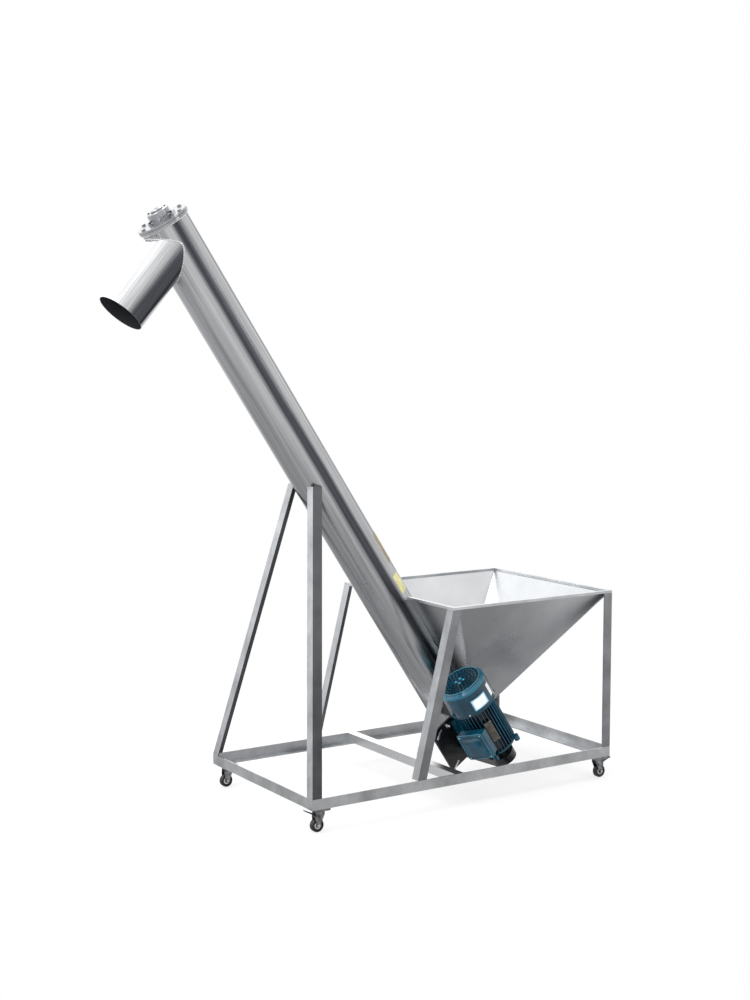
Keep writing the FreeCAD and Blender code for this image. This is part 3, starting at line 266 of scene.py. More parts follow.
def mouldedPlain(name, light, dark, roughness, grit=1.5, metallic=0):
    # Rubber, plastic, paper, or a small piece of steel or iron: one colour with fine grit and dust
    material, tree, shader, coords = startMaterial(name, metallic, roughness)
    grain = addNode(tree, "ShaderNodeTexNoise", {"Vector": coords, "Scale": 1000 / grit, "Detail": 4})
    cloud = addNode(tree, "ShaderNodeTexNoise", {"Vector": coords, "Scale": 1000 / 18, "Detail": 3})
    colour = addRamp(tree, cloud.outputs["Fac"], [(0.35, dark), (0.7, light)])
    tree.links.new(colour, shader.inputs["Base Color"])
    addBump(tree, shader, grain.outputs["Fac"], 0.2, 0.0002)
    return material


spoutAngle = math.radians(spoutSize["lean"])
spoutUp = (tubeOut * -math.cos(spoutAngle) + tubeUp * -math.sin(spoutAngle)).normalized()
spoutFoot = tubeFoot + tubeUp * spoutSize["place"] * mm
spoutLean = math.atan2(spoutUp.x, spoutUp.z)

# Four tones of polished stainless as painted reflection, and the few plain bands of highlight and reflection
# that they make round the tube and the spout.
# A place is a share of the full turn.
streakWhite = "#F2F3F4"
streakLight = "#C8CACC"
streakMiddle = "#A6A8AB"
streakDark = "#505156"
tubeStreaks = [
    (0, streakMiddle), (0.2, streakLight), (0.23, streakDark), (0.27, streakDark), (0.3, streakLight),
    (0.36, streakLight), (0.38, streakDark), (0.42, streakLight), (0.5, streakMiddle), (1, streakMiddle),
]
spoutStreaks = [
    (0, streakMiddle), (0.1, streakLight), (0.13, streakDark), (0.24, streakDark), (0.27, streakLight),
    (0.35, streakWhite), (0.6, streakWhite), (1, streakMiddle),
]

finishes = {
    "angle": millStainless("pickledStainlessAngle", "#D8DADC", "#A4A6A9", 0.34, 120),
    # The uprights are darker copies of the angle, with painted shade on their front faces for how the light
    # falls from the side
    "upright": millStainless("pickledStainlessUprightPaintedShade", "#BCBEC1", "#8A8C8F", 0.32, 90, 0.8, (1, 1, 0.05)),
    "hopperUpright": millStainless("pickledStainlessHopperUprightPaintedShade", "#B0B2B5", "#888A8D", 0.34, 90, 0.3,
                                   (1, 1, 0.05)),
    "sheet": millStainless("coldRolledStainlessSheet", "#C6C8CB", "#9A9C9F", 0.28, 420, slope=0.9),
    # Painted light: lighter copies of the same sheet, a little lighter for the hopper's side walls and almost
    # white for its back wall and the cross member
    "sheetSideLit": millStainless("coldRolledStainlessSheetPaintedLightSide", "#CED0D2", "#B4B6B9", 0.26, 300),
    "sheetPaleLit": millStainless("coldRolledStainlessSheetPaintedLightPale", "#F0F1F2", "#DADBDD", 0.28, 300),
    "flange": millStainless("machinedStainless", "#B2B4B7", "#8E9093", 0.22, 40),
    "weld": millStainless("weldBeadStainless", "#EDEEEF", "#B5B7BA", 0.26, 6),
    "steel": mouldedPlain("turnedSteel", "#A4A6A9", "#8A8C8F", 0.3, 1, 1),
    "bolt": mouldedPlain("zincPlatedBolt", "#DFE1E3", "#B4B6B9", 0.24, 1, 1),
    "iron": mouldedPlain("castIron", "#4A4B4D", "#37383A", 0.5, 2, 1),
    "teal": paintedMetal("tealMotorEnamel", "#0E4A60", "#093242", 0.15, coat=0.1),
    # The fins' finish darkens their valleys with painted shade and some dust
    "tealFins": paintedMetal("tealFinEnamel", "#10506A", "#092F3E", 0.22, valleyRadius=74),
    # The cowl, with a painted highlight in a paler teal band round its shoulder
    "tealGrille": paintedMetal("tealGrilleEnamel", "#0C4054", "#072A37", 0.18, coat=0.1,
                               shoulder=(298, 318, "#185F78")),
    # Painted highlight: a much paler teal on the cowl's upper rim and the lid's edge, for the light along
    # them
    "tealRimHighlight": paintedMetal("tealEnamelRimHighlight", "#3A8CA3", "#2A7288", 0.16),
    "tealStud": paintedMetal("tealStudEnamel", "#4FB0CE", "#3C98B6", 0.2),
    "black": paintedMetal("blackEnamelSheet", "#17181B", "#0C0D0F", 0.18),
    "rubber": mouldedPlain("vulcanisedRubber", "#1E1F20", "#141516", 0.5),
    "plastic": mouldedPlain("blackNylon", "#242527", "#17181A", 0.42),
    "hub": mouldedPlain("paleNylonHub", "#D4D6D8", "#B4B6B8", 0.35),
    "casterSteel": mouldedPlain("zincPlatedCasterSteel", "#A8AAAD", "#606265", 0.28, 1, 1),
    "label": mouldedPlain("blankPaperLabel", "#EDEFF0", "#DDE0E2", 0.5),
    "labelEdge": mouldedPlain("paleBlueLabelBorder", "#8FC4DE", "#7CB4D0", 0.5),
    "yellow": mouldedPlain("paleYellowLabel", "#E3DFA4", "#CFC98A", 0.5),
    "tan": mouldedPlain("tanLabel", "#A08E6C", "#84735A", 0.55),
    "plate": mouldedPlain("etchedAluminiumPlate", "#7A756E", "#5C5852", 0.36, 1, 1),
    "tube": brushedTube("polishedStainlessTube", (0, -tubeLean, 0), tubeFoot, tubeStreaks, 0.22, 88.5, 14),
    "spout": brushedTube("polishedStainlessSpout", (0, -spoutLean, 0), spoutFoot, spoutStreaks, 0.18, 87, 6),
}

finishOfNode = {
    "base_rail": "angle", "cross_member": "sheetPaleLit", "hopper_leg": "hopperUpright", "tube_leg": "upright",
    "rim": "angle", "hopper_panel": "sheet", "hopper_panel_back": "sheetPaleLit",
    "hopper_panel_left": "sheetSideLit", "hopper_panel_right": "sheetSideLit", "conveyor_tube": "tube",
    "discharge_spout": "spout", "top_flange": "flange", "top_cover": "flange", "top_cover_bolts": "steel",
    "top_bearing_housing": "flange", "top_bearing": "steel",
    "bottom_flange": "flange", "bottom_end_plate": "flange", "bottom_end_bolts": "bolt",
    "bottom_bearing_housing": "iron", "bottom_bearing": "steel", "auger": "steel", "driven_pulley": "iron",
    "drive_pulley": "iron", "drive_belt": "rubber", "belt_guard": "black", "guard_back_plate": "black",
    "motor_bracket": "black", "motor_housing": "tealFins", "motor_drive_shield": "teal",
    "motor_rear_shield": "teal", "motor_rotor": "steel", "motor_fan": "plastic", "motor_foot_bolts": "bolt",
    "fan_cowl": "tealGrille", "terminal_box": "teal", "terminal_box_lid": "teal", "cable_gland": "plastic",
    "caster_plates": "casterSteel", "caster_fork": "casterSteel", "caster_wheel": "rubber",
    "brake_pedal": "plastic",
}


def dressNodes():
    # Each node takes the finish of the longest key in finishOfNode that its own name starts with
    for name, item in nodes.items():
        key = max((k for k in finishOfNode if name.startswith(k)), key=len)
        item.data.materials.clear()
        item.data.materials.append(finishes[finishOfNode[key]])


dressNodes()
print("materials: every node dressed")


# Building pieces: shapes are drawn in millimetres, then set in place in metres

def addPiece(name, bm, finish, body, place=None, sharpAngle=35):
    # Turns a bmesh into an object at the origin, its place in its mesh, that rides on a body
    scale = Matrix.Diagonal((mm, mm, mm, 1))
    bm.transform((place or Matrix.Identity(4)) @ scale)
    bmesh.ops.remove_doubles(bm, verts=bm.verts, dist=0.000002)
    bmesh.ops.recalc_face_normals(bm, faces=bm.faces)
    mesh = bpy.data.meshes.new(name)
    bm.to_mesh(mesh)
    bm.free()
    for polygon in mesh.polygons:
        polygon.use_smooth = True
    mesh.set_sharp_from_angle(angle=math.radians(sharpAngle))
    mesh.materials.append(finishes[finish])
    piece = bpy.data.objects.new(name, mesh)
    bpy.context.scene.collection.objects.link(piece)
    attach(piece, body)
    return piece


def stamp(bm, part, place):
    # Sets one drawn shape in place and adds it to the piece
    if place is not None:
        part.transform(place)
    carrier = bpy.data.meshes.new("carrier")
    part.to_mesh(carrier)
    part.free()
    bm.from_mesh(carrier)
    bpy.data.meshes.remove(carrier)


def breakTop(part, height, bevel):
    top = [edge for edge in part.edges if all(v.co.z > height - 1e-5 for v in edge.verts)]
    bmesh.ops.bevel(part, geom=top, affect="EDGES", offset=bevel, segments=2, profile=0.5, material=-1)


def addLathe(bm, profile, place=None, steps=40):
    # Spins a closed outline of (radius, height) points full round its own Z
    part = bmesh.new()
    verts = [part.verts.new((radius, 0, height)) for radius, height in profile]
    edges = [part.edges.new(pair) for pair in zip(verts, verts[1:] + verts[:1])]
    bmesh.ops.spin(part, geom=verts + edges, cent=(0, 0, 0), axis=(0, 0, 1), angle=2 * math.pi, steps=steps,
                   use_merge=True)
    stamp(bm, part, place)


def addDisc(bm, radius, height, place=None, bevel=0.5, steps=28):
    # A round or many-sided plug from its seat at zero up to a height, with a broken upper edge
    part = bmesh.new()
    bmesh.ops.create_cone(part, cap_ends=True, segments=steps, radius1=radius, radius2=radius, depth=height,
                          matrix=Matrix.Translation((0, 0, height / 2)))
    breakTop(part, height, bevel)
    stamp(bm, part, place)


def addSlab(bm, width, depth, height, place=None, corner=0, bevel=0.6):
    # A plate on its seat at zero, its upright corners rounded and its upper edge broken
    part = bmesh.new()
    shape = Matrix.Translation((0, 0, height / 2)) @ Matrix.Diagonal((width, depth, height, 1))
    bmesh.ops.create_cube(part, size=1, matrix=shape)
    if corner:
        uprights = [e for e in part.edges if abs(e.verts[0].co.z - e.verts[1].co.z) > height / 2]
        bmesh.ops.bevel(part, geom=uprights, affect="EDGES", offset=corner, segments=5, profile=0.5,
                        material=-1)
    breakTop(part, height, bevel)
    stamp(bm, part, place)


def addPatch(bm, radius, angles, levels, thickness, steps=14):
    # A thin plate bent round an axis, between two angles in degrees and two levels
    rows = []
    for step in range(steps + 1):
        angle = math.radians(angles[0] + (angles[1] - angles[0]) * step / steps)
        ring = ((radius, levels[0]), (radius, levels[1]), (radius + thickness, levels[1]),
                (radius + thickness, levels[0]))
        rows.append([bm.verts.new((r * math.cos(angle), r * math.sin(angle), h)) for r, h in ring])
    for first, second in zip(rows, rows[1:]):
        for corner in range(4):
            after = (corner + 1) % 4
            bm.faces.new((first[corner], first[after], second[after], second[corner]))
    bm.faces.new(rows[0])
    bm.faces.new(rows[-1][::-1])


def spread(points, step):
    # Places along a line of points, no further apart than a step
    places = [Vector(points[0])]
    for start, end in zip(points, points[1:]):
        start = Vector(start)
        run = Vector(end) - start
        count = max(1, round(run.length / step))
        places += [start + run * (number + 1) / count for number in range(count)]
    return places


def addBead(bm, points, radius, pitch=4.5, ripple=0.22, sides=8):
    # A weld bead along a line of points, swelling once for each drop of weld metal, with rounded ends
    places = spread(points, pitch / 4)
    last = len(places) - 1
    side = None
    rings = []
    travelled = 0
    for number, place in enumerate(places):
        tangent = (places[min(number + 1, last)] - places[max(number - 1, 0)]).normalized()
        if side is None:
            side = tangent.orthogonal().normalized()
        side = (side - tangent * side.dot(tangent)).normalized()
        other = tangent.cross(side)
        if number:
            travelled += (place - places[number - 1]).length
        swell = radius * (1 - ripple + ripple * abs(math.sin(math.pi * travelled / pitch)) * 2)
        swell *= 0.45 if number in (0, last) else 1
        turns = [2 * math.pi * step / sides for step in range(sides)]
        spokes = [side * math.cos(a) + other * math.sin(a) for a in turns]
        rings.append([bm.verts.new(place + spoke * swell) for spoke in spokes])
    for first, second in zip(rings, rings[1:]):
        for corner in range(sides):
            after = (corner + 1) % sides
            bm.faces.new((first[corner], first[after], second[after], second[corner]))
    bm.faces.new(rings[0][::-1])
    bm.faces.new(rings[-1])


# Shared places, in millimetres, read from the frame where it gives them, and the frame's angle

def boxOf(node):
    low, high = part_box(node)
    return low / mm, high / mm


frameLow, frameHigh = boxOf("base_rail_front")
baseTop = frameHigh.z
rimLow = boxOf("rim_front")[0]
halfWidth = -frameLow.y
frameLeft = frameLow.x
frameRight = frameHigh.x
angleLeg = 40
angleWall = 4


def inTube(out, side, up):
    # A place in the tube's own directions, in millimetres of the row frame
    return tubeFoot / mm + tubeOut * out + across * side + tubeUp * up


# Weld beads

# Radii of the beads, how far they lie off the tube and in from its ends, and how far under the rim they start
weldSize = {
    "spout": 3.4,
    "flange": 2.6,
    "leg": 2.6,
    "seam": 1.4,
    "innerSeam": 0.9,
    "foot": 1.6,
    "lift": 0.6,
    "ringLift": 1,
    "ringInset": 1.5,
    "seamPitch": 3.5,
    "drop": 2,
}
# The tube legs' lean from their feet to their tops, and where the hopper's nearer legs stand along the rails
legLean = {
    "along": 182,
    "inward": 294,
    "rise": 1092,
}
hopperLegPlace = 457


def spoutSeam():
    # The line where the spout meets the tube, all round
    lean = spoutAngle
    reach = spoutSize["radius"]
    line = []
    for step in range(121):
        turn = 2 * math.pi * step / 120
        side = reach * math.sin(turn)
        deep = math.sqrt((tubeSize["radius"] + weldSize["lift"]) ** 2 - side * side)
        run = (reach * math.cos(turn) * math.sin(lean) + deep) / math.cos(lean)
        up = spoutSize["place"] - run * math.sin(lean) - reach * math.cos(turn) * math.cos(lean)
        line.append(inTube(-deep, side, up))
    return line


def meetTube(start, way):
    # Where a line first meets the tube
    way = Vector(way).normalized()
    away = Vector(start) - tubeFoot / mm
    flatAway = away - tubeUp * away.dot(tubeUp)
    flatWay = way - tubeUp * way.dot(tubeUp)
    a = flatWay.dot(flatWay)
    b = 2 * flatAway.dot(flatWay)
    c = flatAway.dot(flatAway) - (tubeSize["radius"] + weldSize["lift"]) ** 2
    inside = max(b * b - 4 * a * c, 0)
    return Vector(start) + way * (-b - math.sqrt(inside)) / (2 * a)


def ringLine(radius, up, steps=96):
    turns = [2 * math.pi * step / steps for step in range(steps + 1)]
    return [inTube(radius * math.cos(a), radius * math.sin(a), up) for a in turns]


def weldTube():
    bm = bmesh.new()
    addBead(bm, spoutSeam(), weldSize["spout"], pitch=7, ripple=0.3)
    addPiece("spoutWeld", bm, "weld", "frame")
    bm = bmesh.new()
    for up in (tubeSize["length"] - weldSize["ringInset"], weldSize["ringInset"]):
        addBead(bm, ringLine(tubeSize["radius"] + weldSize["ringLift"], up), weldSize["flange"])
    addPiece("flangeWelds", bm, "weld", "frame")
    bm = bmesh.new()
    legTop = boxOf("tube_leg_front")[1].z
    for side in (-1, 1):
        way = (legLean["along"], -side * legLean["inward"], legLean["rise"])
        corner = Vector((frameLeft, side * halfWidth, baseTop))
        outline = [(angleLeg, 0), (0, 0), (0, angleLeg)]
        starts = spread([corner + Vector((x, -side * y, 0)) for x, y in outline], 4)
        meetings = [meetTube(start, way) for start in starts]
        addBead(bm, [spot for spot in meetings if spot.z < legTop], weldSize["leg"])
    addPiece("legWelds", bm, "weld", "frame")


def panCorners():
    # The pan's corners under the rim, and where its walls meet the tube
    seat = 14
    low = rimLow.z
    side = halfWidth - seat
    seamSide = math.sqrt(tubeSize["radius"] ** 2 - (tubeSize["saddle"] - 2) ** 2)
    toe = inTube(tubeSize["saddle"], 0, tubeSize["toe"])
    left = rimLow.x + 30
    right = frameRight - seat
    return left, right, side, low, seamSide, toe


def weldHopper():
    # Beads down the pan's corners: all four outside, and the two far from the tube inside as well
    left, right, side, low, seamSide, toe = panCorners()
    top = low - weldSize["drop"]
    pitch = weldSize["seamPitch"]
    bm = bmesh.new()
    for hand in (-1, 1):
        foot = Vector((toe.x, hand * seamSide, toe.z))
        outward = Vector((0, hand * 1.6, -1.2))
        for end in (right, left):
            start = Vector((end, hand * side, top))
            addBead(bm, [start + outward, foot + outward], weldSize["seam"], pitch)
    for hand in (-1, 1):
        foot = Vector((toe.x, hand * seamSide, toe.z))
        inward = Vector((0, -hand * 0.6, 0.8))
        start = Vector((right, hand * side, top))
        addBead(bm, [start + inward, foot + inward], weldSize["innerSeam"], pitch)
    addPiece("hopperSeamWelds", bm, "weld", "frame")


def weldFeet():
    # Short beads where the uprights stand on the thin top edge of the rails
    bm = bmesh.new()
    gap = 0.4
    lift = weldSize["lift"]
    radius = weldSize["foot"]
    legFoot = frameLeft + hopperLegPlace
    endLeg = frameRight - angleLeg
    for hand in (-1, 1):
        face = hand * (halfWidth - 1.8)
        inner = hand * (halfWidth - angleWall + gap)
        under = hand * (halfWidth - angleWall - 0.5)
        for x in (legFoot - gap, legFoot + angleLeg + gap, endLeg - gap, frameLeft + angleLeg + gap):
            addBead(bm, [(x, face, baseTop + lift), (x, inner, baseTop + lift)], radius, 2)
        for x in (legFoot + 6, endLeg + 4):
            addBead(bm, [(x, under, baseTop - 0.2), (x + angleLeg - 10, under, baseTop - 0.2)], radius, 3)
    addPiece("footWelds", bm, "weld", "frame")


weldTube()
weldHopper()
weldFeet()
print("welds: spout, flanges, legs, hopper and feet")


# Top bearing

topSize = {
    "plateLevel": 2375,
    "plateWall": 8,
    "gasketRadius": 97.4,
    "gasketHalf": 0.7,
    "boltCount": 6,
    "boltCircle": 83,
    "housingRise": 34,
    "bossRadius": 25,
    "bossRise": 6,
    "capScrewCircle": 34,
    "capScrewRadius": 3.6,
    "footScrewCircle": 48,
    "footScrewRadius": 5.5,
    "footScrewRise": 8,
}


def addRound(bm, count, circle, level, radius, height, bevel):
    # Hexagon heads spaced evenly on a circle, the first of them half a step round
    for step in range(count):
        turn = math.pi / count + 2 * math.pi * step / count
        place = Matrix.Translation((circle * math.cos(turn), circle * math.sin(turn), level))
        addDisc(bm, radius, height, place, bevel, 6)


def dressTop():
    # The cover's gasket and washers, and the bearing's boss and screws
    level = topSize["plateLevel"]
    joint = level - topSize["plateWall"]
    outer = topSize["gasketRadius"]
    inner = outer - 3.4
    half = topSize["gasketHalf"]
    bm = bmesh.new()
    addLathe(bm, [(inner, joint - half), (outer, joint - half), (outer, joint + half), (inner, joint + half)],
             None, 96)
    addPiece("coverGasket", bm, "rubber", "frame", tubePlace)
    bm = bmesh.new()
    circle = topSize["boltCircle"]
    for step in range(topSize["boltCount"]):
        turn = 2 * math.pi * step / topSize["boltCount"]
        place = Matrix.Translation((circle * math.cos(turn), circle * math.sin(turn), level))
        addLathe(bm, [(4.2, 0), (9, 0), (9, 1.2), (8.6, 1.5), (4.2, 1.5)], place, 28)
    addPiece("topWashers", bm, "steel", "frame", tubePlace)
    bm = bmesh.new()
    top = level + topSize["housingRise"]
    radius = topSize["bossRadius"]
    rise = topSize["bossRise"]
    addLathe(bm, [(6, 0), (radius, 0), (radius, 3), (radius - 3, rise), (6, rise)],
             Matrix.Translation((0, 0, top)), 48)
    addPiece("bearingCapBoss", bm, "flange", "frame", tubePlace)
    bm = bmesh.new()
    addDisc(bm, 7, 5, Matrix.Translation((0, 0, top)), 1, 6)
    addRound(bm, 4, topSize["capScrewCircle"], top - 0.2, topSize["capScrewRadius"], 3, 0.6)
    addRound(bm, 3, topSize["footScrewCircle"], level + topSize["footScrewRise"], topSize["footScrewRadius"],
             4.5, 0.8)
    addPiece("bearingScrews", bm, "iron", "frame", tubePlace)


dressTop()
print("top: gasket, washers, boss and screws")


# Motor

motorSize = {
    "start": -18,
    "cowlRadius": 95,
    "cowlLow": 227,
    "cowlHigh": 339,
    "finTip": 83,
    "earCircle": 86,
    "boxTurn": 26,
    "boxFace": 121.2,
    "boxLevel": 106,
    "footPlane": 90,
}
motorPlace = axisFrame(motorFoot, motorSize["start"])

# Blank labels: name, finish, radius, turns in degrees, levels and thickness
motorLabels = (
    ("cowlLabelBorder", "labelEdge", motorSize["cowlRadius"], (-118, -77), (242.5, 290.5), 0.25),
    ("cowlLabel", "label", motorSize["cowlRadius"] + 0.2, (-115, -80.5), (246.5, 286.5), 0.2),
    ("cowlTag", "label", motorSize["cowlRadius"], (-62, -50), (246, 300), 0.3),
    ("blankRatingPlate", "plate", motorSize["finTip"] + 0.2, (-118, -97), (77, 169), 1.2),
)
plateRivets = {
    "turns": (-115.5, -99.5),
    "levels": (81, 165),
    "radius": 2,
    "rise": 0.9,
}


def stickLabels(labels, place):
    for name, finish, radius, turns, levels, thickness in labels:
        bm = bmesh.new()
        addPatch(bm, radius, turns, levels, thickness)
        addPiece(name, bm, finish, "frame", place)


def faceOut(turn, radius, level):
    # A place on a round surface about an axis, with Z away from the axis
    out = Vector((math.cos(turn), math.sin(turn), 0))
    outward = out.to_track_quat("Z", "Y").to_matrix().to_4x4()
    return Matrix.Translation(out * radius + Vector((0, 0, level))) @ outward


def labelMotor():
    # A white label with a pale blue border and a small tag on the cowl, a riveted dark plate on the fins
    stickLabels(motorLabels, motorPlace)
    bm = bmesh.new()
    for turn in plateRivets["turns"]:
        for level in plateRivets["levels"]:
            spot = faceOut(math.radians(turn), motorSize["finTip"] + 1.3, level)
            addDisc(bm, plateRivets["radius"], plateRivets["rise"], spot, 0.3, 12)
    addPiece("ratingPlateRivets", bm, "bolt", "frame", motorPlace)


cowlTrim = {
    "edgeRise": 3,
    "edgeOut": 2,
    "rimInset": 12,
    "studCircle": 15,
    "studRadius": 5.2,
    "screwRadius": 4.4,
    "screwLevel": 9,
}


def quarterTurns():
    return [math.pi / 4 + math.pi / 2 * step for step in range(4)]


def trimCowl():
    # The cowl's rolled lower edge, and its upper one in a painted highlight, and the studs and screws
    radius = motorSize["cowlRadius"]
    low = motorSize["cowlLow"]
    high = motorSize["cowlHigh"]
    edge = cowlTrim["edgeRise"]
    bm = bmesh.new()
    addLathe(bm, [(radius - 0.4, low), (radius + 1.6, low), (radius + cowlTrim["edgeOut"], low + edge / 2),
                  (radius + 1.6, low + edge), (radius - 0.4, low + edge)], None, 96)
    addPiece("cowlLowerEdge", bm, "teal", "frame", motorPlace)
    bm = bmesh.new()
    ring = radius - cowlTrim["rimInset"]
    addLathe(bm, [(ring - 4, high - 0.6), (ring - 3, high + 0.6), (ring - 1, high + 1),
                  (ring + 0.6, high + 0.4), (ring + 1, high - 0.8)], None, 96)
    addPiece("cowlUpperEdge", bm, "tealRimHighlight", "frame", motorPlace)
    bm = bmesh.new()
    circle = cowlTrim["studCircle"]
    for turn in quarterTurns():
        place = Matrix.Translation((circle * math.cos(turn), circle * math.sin(turn), high - 0.1))
        addDisc(bm, cowlTrim["studRadius"], 1.8, place, 0.8, 20)
    addPiece("grilleStuds", bm, "tealStud", "frame", motorPlace)
    bm = bmesh.new()
    for turn in quarterTurns():
        spot = faceOut(turn, radius - 0.2, low + cowlTrim["screwLevel"])
        addDisc(bm, cowlTrim["screwRadius"], 2.4, spot, 1, 20)
    addPiece("cowlScrews", bm, "bolt", "frame", motorPlace)


def trimShields():
    # Cap screws in the ears of the drive end
    circle = motorSize["earCircle"]
    bm = bmesh.new()
    for turn in quarterTurns():
        spot = Matrix.Translation((circle * math.cos(turn), circle * math.sin(turn), 0))
        addDisc(bm, 6, 4, spot @ Matrix.Rotation(math.pi, 4, "X"), 0.8, 6)
    addPiece("shieldScrews", bm, "bolt", "frame", motorPlace)


boxTrim = {
    "panelWidth": 84,
    "panelLength": 92,
    "panelRise": 2.6,
    "panelCorner": 14,
    "lidHalfWidth": 54,
    "lidHalfLength": 60,
    "lidCorner": 4,
    "screwAcross": 46,
    "screwAlong": 52,
    "screwRadius": 3.3,
    "bossRadius": 6.4,
}


def boxFrame():
    # On the middle of the terminal box's lid, with Z out of the lid and Y along the motor
    turned = motorPlace @ Matrix.Rotation(math.radians(motorSize["boxTurn"]), 4, "Z")
    stand = Matrix(((0, 0, -1, 0), (-1, 0, 0, 0), (0, 1, 0, 0), (0, 0, 0, 1)))
    return turned @ Matrix.Translation(Vector((-motorSize["boxFace"], 0, motorSize["boxLevel"])) * mm) @ stand


def lidOutline():
    # The lid's edge with its corners cut, closed on its first point
    wide = boxTrim["lidHalfWidth"]
    long = boxTrim["lidHalfLength"]
    cut = boxTrim["lidCorner"]
    return [(cut - wide, -long), (wide - cut, -long), (wide, cut - long), (wide, long - cut),
            (wide - cut, long), (cut - wide, long), (-wide, long - cut), (-wide, cut - long),
            (cut - wide, -long)]


def trimBox():
    # The lid's raised panel, its edge in a painted highlight, and a boss with a screw in each corner
    spots = [(x, y) for x in (-boxTrim["screwAcross"], boxTrim["screwAcross"])
             for y in (-boxTrim["screwAlong"], boxTrim["screwAlong"])]
    bm = bmesh.new()
    addSlab(bm, boxTrim["panelWidth"], boxTrim["panelLength"], boxTrim["panelRise"],
            Matrix.Translation((0, -2, -0.1)), boxTrim["panelCorner"], 1.6)
    addPiece("lidRaisedPanel", bm, "teal", "frame", boxFrame())
    bm = bmesh.new()
    addBead(bm, [(x, y, 0.2) for x, y in lidOutline()], 1.1, 30, 0, 8)
    addPiece("lidEdge", bm, "tealRimHighlight", "frame", boxFrame())
    bm = bmesh.new()
    outer = boxTrim["bossRadius"]
    for x, y in spots:
        addLathe(bm, [(3.4, -0.1), (outer, -0.1), (outer, 1.6), (outer - 0.8, 2.4), (3.4, 2.4)],
                 Matrix.Translation((x, y, 0)), 24)
    addPiece("lidScrewBosses", bm, "teal", "frame", boxFrame())
    bm = bmesh.new()
    for x, y in spots:
        addDisc(bm, boxTrim["screwRadius"], 3.2, Matrix.Translation((x, y, -0.1)), 0.8, 18)
    addPiece("lidScrews", bm, "bolt", "frame", boxFrame())


# Each strip is so far out and up, and so wide. The bolt's parts have a radius, a rise, a bevel and sides.
bracketTrim = {
    "strips": ((-149.5, 165, 10), (-154.5, 9.5, 7)),
    "stripLength": 45,
    "stripRise": 1.4,
    "stripTurn": 26,
    "boltPlace": (-102, 172),
    "boltParts": ((9.5, 1.6, 0.4, 32), (7.2, 12, 1, 6), (4, 20, 1, 24)),
}


def onPlate(out, up, turn=0):
    # A place on the front of the bracket's plate, with Z away from it
    cos = math.cos(math.radians(turn))
    sin = math.sin(math.radians(turn))
    return Matrix(((cos, -sin, 0, out), (0, 0, -1, motorSize["footPlane"]), (sin, cos, 0, up), (0, 0, 0, 1)))


def trimBracket():
    # Two bright slot strips and a tension bolt on the bracket's plate
    bm = bmesh.new()
    for out, up, width in bracketTrim["strips"]:
        addSlab(bm, bracketTrim["stripLength"], width, bracketTrim["stripRise"],
                onPlate(out, up, bracketTrim["stripTurn"]), 3, 0.5)
    addPiece("bracketSlotStrips", bm, "bolt", "frame", motorPlace)
    bm = bmesh.new()
    for radius, rise, bevel, sides in bracketTrim["boltParts"]:
        addDisc(bm, radius, rise, onPlate(*bracketTrim["boltPlace"]), bevel, sides)
    addPiece("bracketTensionBolt", bm, "bolt", "frame", motorPlace)


labelMotor()
trimCowl()
trimShields()
trimBox()
trimBracket()
print("motor: labels, edges, screws and lid")


# Blank labels on the tube

tubeLabels = (
    ("tubeLabelLow", "yellow", tubeSize["radius"], (-70, -42), (668, 752), 0.3),
    ("tubeLabelHigh", "tan", tubeSize["radius"], (-52, -26), (800, 935), 0.3),
)
stickLabels(tubeLabels, tubePlace)
print("tube: two blank labels")


# Casters

casterSize = {
    "halfWidth": 10.5,
    "ringInner": 8.5,
    "ringOuter": 13.5,
    "axleReach": 16.7,
    "headRadius": 5.2,
    "headRise": 1.6,
}


def dressCasters():
    # A pale ring on each side of every wheel, and a cap on each end of every axle
    half = casterSize["halfWidth"]
    inner = casterSize["ringInner"]
    outer = casterSize["ringOuter"]
    for name in ("front_left", "front_right", "back_left", "back_right"):
        low, high = boxOf(f"caster_wheel_{name}")
        centre = (low + high) / 2
        stand = Matrix.Translation(centre * mm) @ Matrix.Rotation(math.pi / 2, 4, "X")
        faces = [Matrix.Diagonal((1, 1, hand, 1)) for hand in (1, -1)]
        bm = bmesh.new()
        for face in faces:
            addLathe(bm, [(inner, half - 3.2), (outer, half - 3.2), (outer - 0.5, half - 1.2),
                          (outer - 2, half - 0.6), (inner + 1, half - 1.4)], face, 48)
        addPiece(f"wheelRings_{name}", bm, "hub", f"wheel_{name}", stand)
        bm = bmesh.new()
        for face in faces:
            end = face @ Matrix.Translation((0, 0, casterSize["axleReach"]))
            addDisc(bm, casterSize["headRadius"], casterSize["headRise"], end, 0.7, 24)
        addPiece(f"axleCaps_{name}", bm, "bolt", f"swivel_{name}", stand)


dressCasters()
print("casters: hub rings and axle caps")


# Camera, floor and lights

# The camera's place in metres, its turns in degrees and its lens in millimetres
viewPoint = {
    "place": (-3.2306, -5.123, 1.754),
    "yaw": 33.07,
    "pitch": 5.67,
    "lens": 56.94,
}


# Directions in the room, and strengths as shares of plain white. The floor's distances are in metres.
studio = {
    "brightWay": (-0.35, 0.82, 0.45),
    "brightness": (0.95, 1.7),
    "cardWay": (0.543, -0.771, 0.333),
    "cardEdge": (0.94, 0.98),
    "cardShade": 0.2,
    "floorRadius": 40,
    "floorColour": "#F4F4F4",
    "shadowFade": (0.9, 2.2),
    "shadowShare": 0.72,
    "mirrorFade": (0.8, 4.5),
    "mirrorShade": 0.55,
}
# Name, place and side in metres, and watts
softboxes = (
    ("keySoftbox", (-4.2, -1.2, 3.6), 2.6, 110),
    ("topSoftbox", (0.2, 0.3, 4.6), 2.4, 60),
    ("fillSoftbox", (2.6, -4.2, 2.6), 1.8, 18),
)
aimPoint = Vector((0, 0, 0.9))


